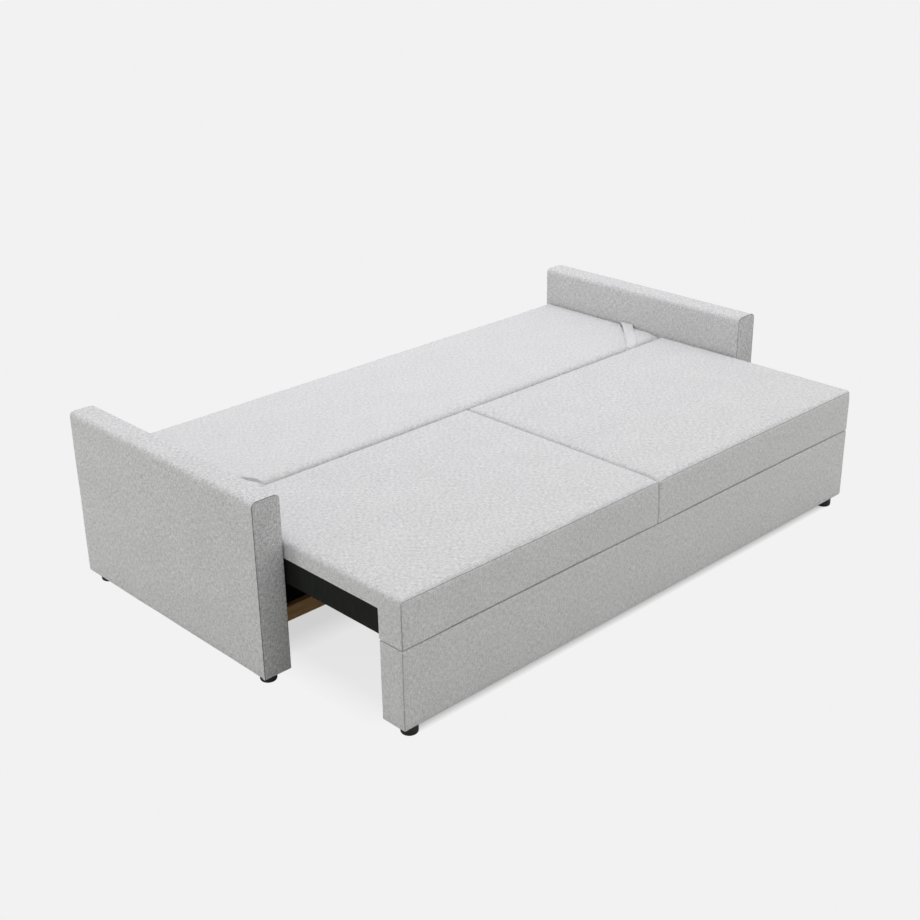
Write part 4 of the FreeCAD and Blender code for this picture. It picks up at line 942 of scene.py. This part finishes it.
def past_strap(x, y):
    """Distance from a strap's inner edge towards the corner, along the cloth; negative on the panel's side."""
    v = np.clip(y - BACK_FRONT, 0, None)
    v = np.where(v < NOSE, NOSE - NOSE * np.arcsin(np.clip((NOSE - v) / NOSE, 0, 1)), v)
    return (STRAP_LEG - (CUSH_OUT - np.abs(x)) - v) / DIAGONAL


def bowed(x, y, depth):
    """Shift in the plane that bows the strap and the cloth beside it, as two arrays."""
    u, v = np.clip(CUSH_OUT - np.abs(x), 0, None), np.clip(y - BACK_FRONT, 0, None)
    along = v / np.maximum(u + v, NEAR)
    bow = np.where(x < 0, STRAP_BOW[-1], STRAP_BOW[1])
    size = bow * arch(along) * bell(depth, 55 * MM) / DIAGONAL
    return -np.sign(x) * size, size


def backrest(seed):
    """The panel that lies level with the seat; returns its surface, for the straps to lie on."""
    x1, r, round_end = CUSH_OUT, 24 * MM, 9 * MM
    centre = (BACK_FRONT + NOSE, BACK_TOP - NOSE)
    arc = [(centre[0] + NOSE * math.cos(a), centre[1] + NOSE * math.sin(a))
           for a in (math.radians(90 + 125 * k / 10) for k in range(11))]
    foot = arc[-1][0] + (arc[-1][1] - BACK_LOW) * math.tan(LEAN)
    rear = []
    for cy, cz, first in ((BACK_REAR - r, BACK_LOW + r, 270), (BACK_REAR - r, BACK_TOP - r, 0)):
        rear += [(cy + r * math.cos(a), cz + r * math.sin(a))
                 for a in (math.radians(first + 90 * k / 6) for k in range(7))]
    bm = prism(arc + [(foot, BACK_LOW)] + rear, -x1, x1)
    round_edges(bm, round_end, 4, lambda e: (on(e, 0, x1) or on(e, 0, -x1)) and min(
        v.co.z for v in e.verts) > BACK_LOW + r - NEAR)
    slice_up(bm, 0, even(-x1 + 10 * MM, x1 - 10 * MM, 16 * MM))
    slice_up(bm, 1, even(BACK_FRONT + NOSE, BACK_REAR - r, 15 * MM))
    slice_up(bm, 2, even(BACK_LOW + r, BACK_TOP - r, 20 * MM))
    for side, sign in SIDES:
        for depth in STRAP_CUTS:
            reach = STRAP_LEG - depth * MM * DIAGONAL
            slice_at(bm, (sign * (x1 - reach), BACK_FRONT, BACK_TOP), (sign, -1, 0))
    piece = to_piece(bm, "backrest_upholstery", back_cloth)
    p = points_of(piece)
    x0, y0, z0 = p.T.copy()

    def sewn(q):
        rim = np.minimum(np.minimum(x1 - np.abs(q[:, 0]), q[:, 1] - BACK_FRONT), BACK_REAR - q[:, 1])
        corner = towards(past_strap(q[:, 0], q[:, 1]), 0, 10 * MM)
        held = np.maximum(bell(rim, 14 * MM) * 0.9, corner)
        return np.where(q[:, 2] < BACK_TOP - 30 * MM, 1.0, held)

    p += puffed(piece, 4.0 * MM, 12 * MM, sewn)
    x, y, z = p.T
    s = x0 / x1
    t = np.clip((y0 - BACK_FRONT) / (BACK_REAR - BACK_FRONT), 0, 1)
    lifted = towards(z0, BACK_TOP, 20 * MM)
    from_edge = np.minimum((1 - np.abs(s)) * x1, np.minimum(t, 1 - t) * (BACK_REAR - BACK_FRONT))
    uneven = 1.0 * MM * wobble(x0, y0, seed, 0.4) * smooth_step(from_edge / 0.08)
    z += lifted * (3.5 * MM * np.clip((1 - s ** 2) * arch(t), 0, 1) ** 0.6 + uneven)

    # beside a strap the panel swells; the strap holds the corner down, which rises again and then falls away
    depth = past_strap(x0, y0)
    beside = np.clip(-depth, 0, None)
    swell = np.where(x0 < 0, STRAP_SWELL[-1], STRAP_SWELL[1])
    swell *= bell(beside, 50 * MM) * smooth_step((y0 - BACK_FRONT) / 0.03)
    z += lifted * swell
    step = (6.5 * MM + swell) * smooth_step((depth + 1.3 * MM) / (2.6 * MM))
    step -= 4.8 * MM * smooth_step((depth - 6 * MM) / (40 * MM))
    valley = 1.5 * MM * bell(depth - 46 * MM, 6 * MM)
    edge_roll = bell(beside, 5 * MM) * (depth < 0) * 0.6 * MM
    fall = smooth_step((depth - 92 * MM) / (42 * MM)) * 9 * MM
    z -= lifted * (step + valley + edge_roll + fall)
    z -= lifted * 0.7 * MM * creases(x0, y0 - BACK_FRONT, seed + 2, 0.09, 0.03)
    dx, dy = bowed(x0, y0, depth)
    place(piece, np.clip(x + dx * lifted, -x1, x1), np.clip(y + dy * lifted, BACK_FRONT, BACK_REAR), z)
    shade(piece)
    unwrap(piece, (0.19, 0.83))
    stays(piece, "backrest", "back_cloth", "back_cover")
    return surface_of(piece)


panel_surface = backrest(71)

# across the strap: place from -1 at its inner edge to 1 at its outer, and height in thicknesses
BAND = ((-1, -0.6), (-0.97, 0.7), (-0.88, 1.05), (-0.66, 1.15), (-0.44, 1.15), (-0.22, 1.1), (0, 1.1),
        (0.22, 1.1), (0.44, 1.15), (0.66, 1.15), (0.88, 1.05), (0.97, 0.7), (1, -0.6))


def strap(side, sign):
    """A flat folded band laid on the panel from under its front edge to its side, where it stands a little
    proud against the arm and turns down."""
    half, thick = STRAP_WIDTH / 2, 1.8 * MM
    middle = STRAP_LEG - (half + 3.6 * MM) * DIAGONAL
    axis = Vector((0, BACK_FRONT + NOSE, BACK_TOP - NOSE))

    def ground(x, y, out, start):
        """Where a ray against the direction out meets the panel."""
        missed = Vector((sign * x, y, 0))
        found = panel_surface.ray_cast(missed + start, -out, 0.2)[0]
        return missed if found is None else found

    def thickness(f, h):
        """Height of the band over the cloth; the left one's upper side stands up near the front edge."""
        raised = 0.0
        if sign < 0 and h > 0.5:
            raised = 3.2 * MM * smooth_step((f * middle - 12 * MM) / (12 * MM)) * (
                1 - smooth_step((f - 0.34) / 0.14))
        return thick * h + float(raised)

    def at(f, w, h):
        """A point of the band: f runs along it, w across it and h through it."""
        turn = float(smooth_step((1 - f) / 0.10))
        across = Vector((turn, -1, 0)).normalized() * (half * (DIAGONAL + (1 - DIAGONAL) * turn) * w)
        x = CUSH_OUT - middle * (1 - f) + 1.4 * MM * max(f, 0) + across.x
        v = middle * f + across.y
        if v < NOSE:
            angle = (NOSE - v) / NOSE
            out = Vector((0, -math.sin(angle), math.cos(angle)))
            spot = ground(x, 0, out, axis + out * 0.05)
            return Vector((sign * spot.x, spot.y, spot.z)) + out * thickness(f, h)
        dx, dy = bowed(np.array([sign * x]), np.array([BACK_FRONT + v]), np.zeros(1))
        x, y = x + sign * dx[0], BACK_FRONT + v + dy[0]
        low = ground(x, y, Vector((0, 0, 1)), Vector((0, 0, BACK_TOP + 0.03))).z
        bridge = BACK_TOP - 6 * MM + 13 * MM * float(smooth_step((f - 0.60) / 0.38))
        return Vector((x, y, max(low, bridge) + thickness(f, h)))

    def beside(drop, w, h):
        return Vector((CUSH_OUT + (1.4 + 0.5 * h) * MM, BACK_FRONT + middle - half * DIAGONAL * w,
                       BACK_TOP + 7 * MM - drop))

    lengths = [k * 2.5 * MM for k in range(-2, 15)] + even(40 * MM, middle, 6 * MM)
    rows = [[at(v / middle, w, h) for w, h in BAND] for v in lengths]
    rows += [[beside(k * 7 * MM, w, h) for w, h in BAND] for k in range(1, 6)]
    bm = bmesh.new()
    verts = [[bm.verts.new((sign * q.x, q.y, q.z)) for q in row] for row in rows]
    count = len(BAND)
    for one, two in zip(verts, verts[1:]):
        for s in range(count):
            bm.faces.new((one[s], one[(s + 1) % count], two[(s + 1) % count], two[s]))
    bm.faces.new(verts[0])
    bm.faces.new(verts[-1][::-1])
    bmesh.ops.recalc_face_normals(bm, faces=bm.faces)
    piece = to_piece(bm, "strap_" + side, strap_cloth)
    shade(piece)
    unwrap(piece, (0.4, 0.9))
    stays(piece, "backrest", "strap_cloth", "pull_strap_" + side)


for side, sign in SIDES:
    strap(side, sign)


# ---------------------------------------------------------------- cloth on the board at the back
low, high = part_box("rear_panel")
inset = 3 * MM
bm = prism([(low[1], low[2]), (high[1], low[2]), (high[1], high[2]), (low[1], high[2])], low[0], high[0])
round_edges(bm, inset, 3, lambda e: on(e, 1, high[1]))
slice_up(bm, 0, even(low[0] + inset, high[0] - inset, 50 * MM))
slice_up(bm, 2, even(low[2] + inset, high[2] - inset, 30 * MM))
panel = to_piece(bm, "rear_panel_cloth", arm_cloth)
x, y, z = points_of(panel).T
place(panel, x, y - towards(y, high[1], 4 * MM) * (0.6 * MM + 0.5 * MM * wobble(x, z, 91, 0.3)), z)
shade(panel)
unwrap(panel)
stays(panel, "base", "arm_cloth", "rear_panel")


# ---------------------------------------------------------------- floor, backdrop and light
PAPER, IN_SHADOW, SEEN_BY_SOFA = 0.887, 0.82, 0.55    # the backdrop, and the floor under two conditions
SHADED_HALF = (0.90, 0.50, 1)                         # half the size of the floor's part with a soft shadow
sheet = bmesh.new()
bmesh.ops.create_grid(sheet, x_segments=2, y_segments=2, size=30)
ground = bpy.data.meshes.new("ground")
sheet.to_mesh(ground)
sheet.free()
floor = add_object("ground", ground)
paper = bpy.data.materials.new("paper")
paper.use_nodes = True
paper.node_tree.nodes.clear()
m = Maker(paper.node_tree)
where = m.node("ShaderNodeTexCoord").outputs["Object"]
beyond = m.vector("SUBTRACT", m.vector("ABSOLUTE", where), SHADED_HALF)
distance = m.vector("LENGTH", m.vector("MAXIMUM", beyond))
across, deep = m.parts(where)[:2]
# how much of the real shadow shows: under the seat, and in a strip along the foot of its front
share = m.math("MULTIPLY", m.span(deep, -0.15, -0.05, 0.136, 0.30), m.span(distance, 0.0, 0.12, 1.0, 0.0))
strip = m.math("MULTIPLY", m.span(deep, -0.674, -0.648, 0.0, 0.56), m.span(deep, -0.630, -0.600, 1.0, 0.0))
strip = m.math("MULTIPLY", strip, m.span(m.math("ABSOLUTE", across), 0.93, 0.96, 1.0, 0.0))
shadow = m.choose(m.math("MAXIMUM", share, strip), m.shader("ShaderNodeEmission", Color=grey(PAPER)),
                  m.shader("ShaderNodeBsdfDiffuse", Color=grey(IN_SHADOW)))
shown = m.choose(m.node("ShaderNodeLightPath").outputs["Is Camera Ray"],
                 m.shader("ShaderNodeBsdfDiffuse", Color=grey(SEEN_BY_SOFA)), shadow)
m.join(shown, m.node("ShaderNodeOutputMaterial").inputs[0])
ground.materials.append(paper)

world = bpy.data.worlds.new("studio")
bpy.context.scene.world = world
world.use_nodes = True
world.node_tree.nodes.clear()
m = Maker(world.node_tree)
shown = m.choose(m.node("ShaderNodeLightPath").outputs["Is Camera Ray"],
                 m.shader("ShaderNodeBackground", Color=(1.0, 1.0, 0.985, 1), Strength=0.68),
                 m.shader("ShaderNodeBackground", Color=grey(PAPER)))
m.join(shown, m.node("ShaderNodeOutputWorld").inputs[0])


def area_light(name, at, target, size, power, colour):
    data = bpy.data.lights.new(name, "AREA")
    data.shape = "SQUARE"
    data.size = size
    data.energy = power
    data.color = colour
    turn = (Vector(at) - Vector(target)).to_track_quat("Z", "Y")
    add_object(name, data).matrix_world = Matrix.Translation(Vector(at)) @ turn.to_matrix().to_4x4()


area_light("overhead", (0.4, 0.9, 4.2), (0, 0, 0), 5.0, 120.0, (0.94, 0.94, 1.0))
area_light("left_low", (-4.0, 1.4, 0.55), (-1.1, 0.2, 0.3), 1.0, 18.0, (1.0, 1.0, 0.96))
area_light("right_front", (3.6, -4.6, 1.9), (0, -0.4, 0.2), 2.0, 41.0, (1.0, 1.0, 0.975))
bpy.context.scene.view_settings.view_transform = "Standard"
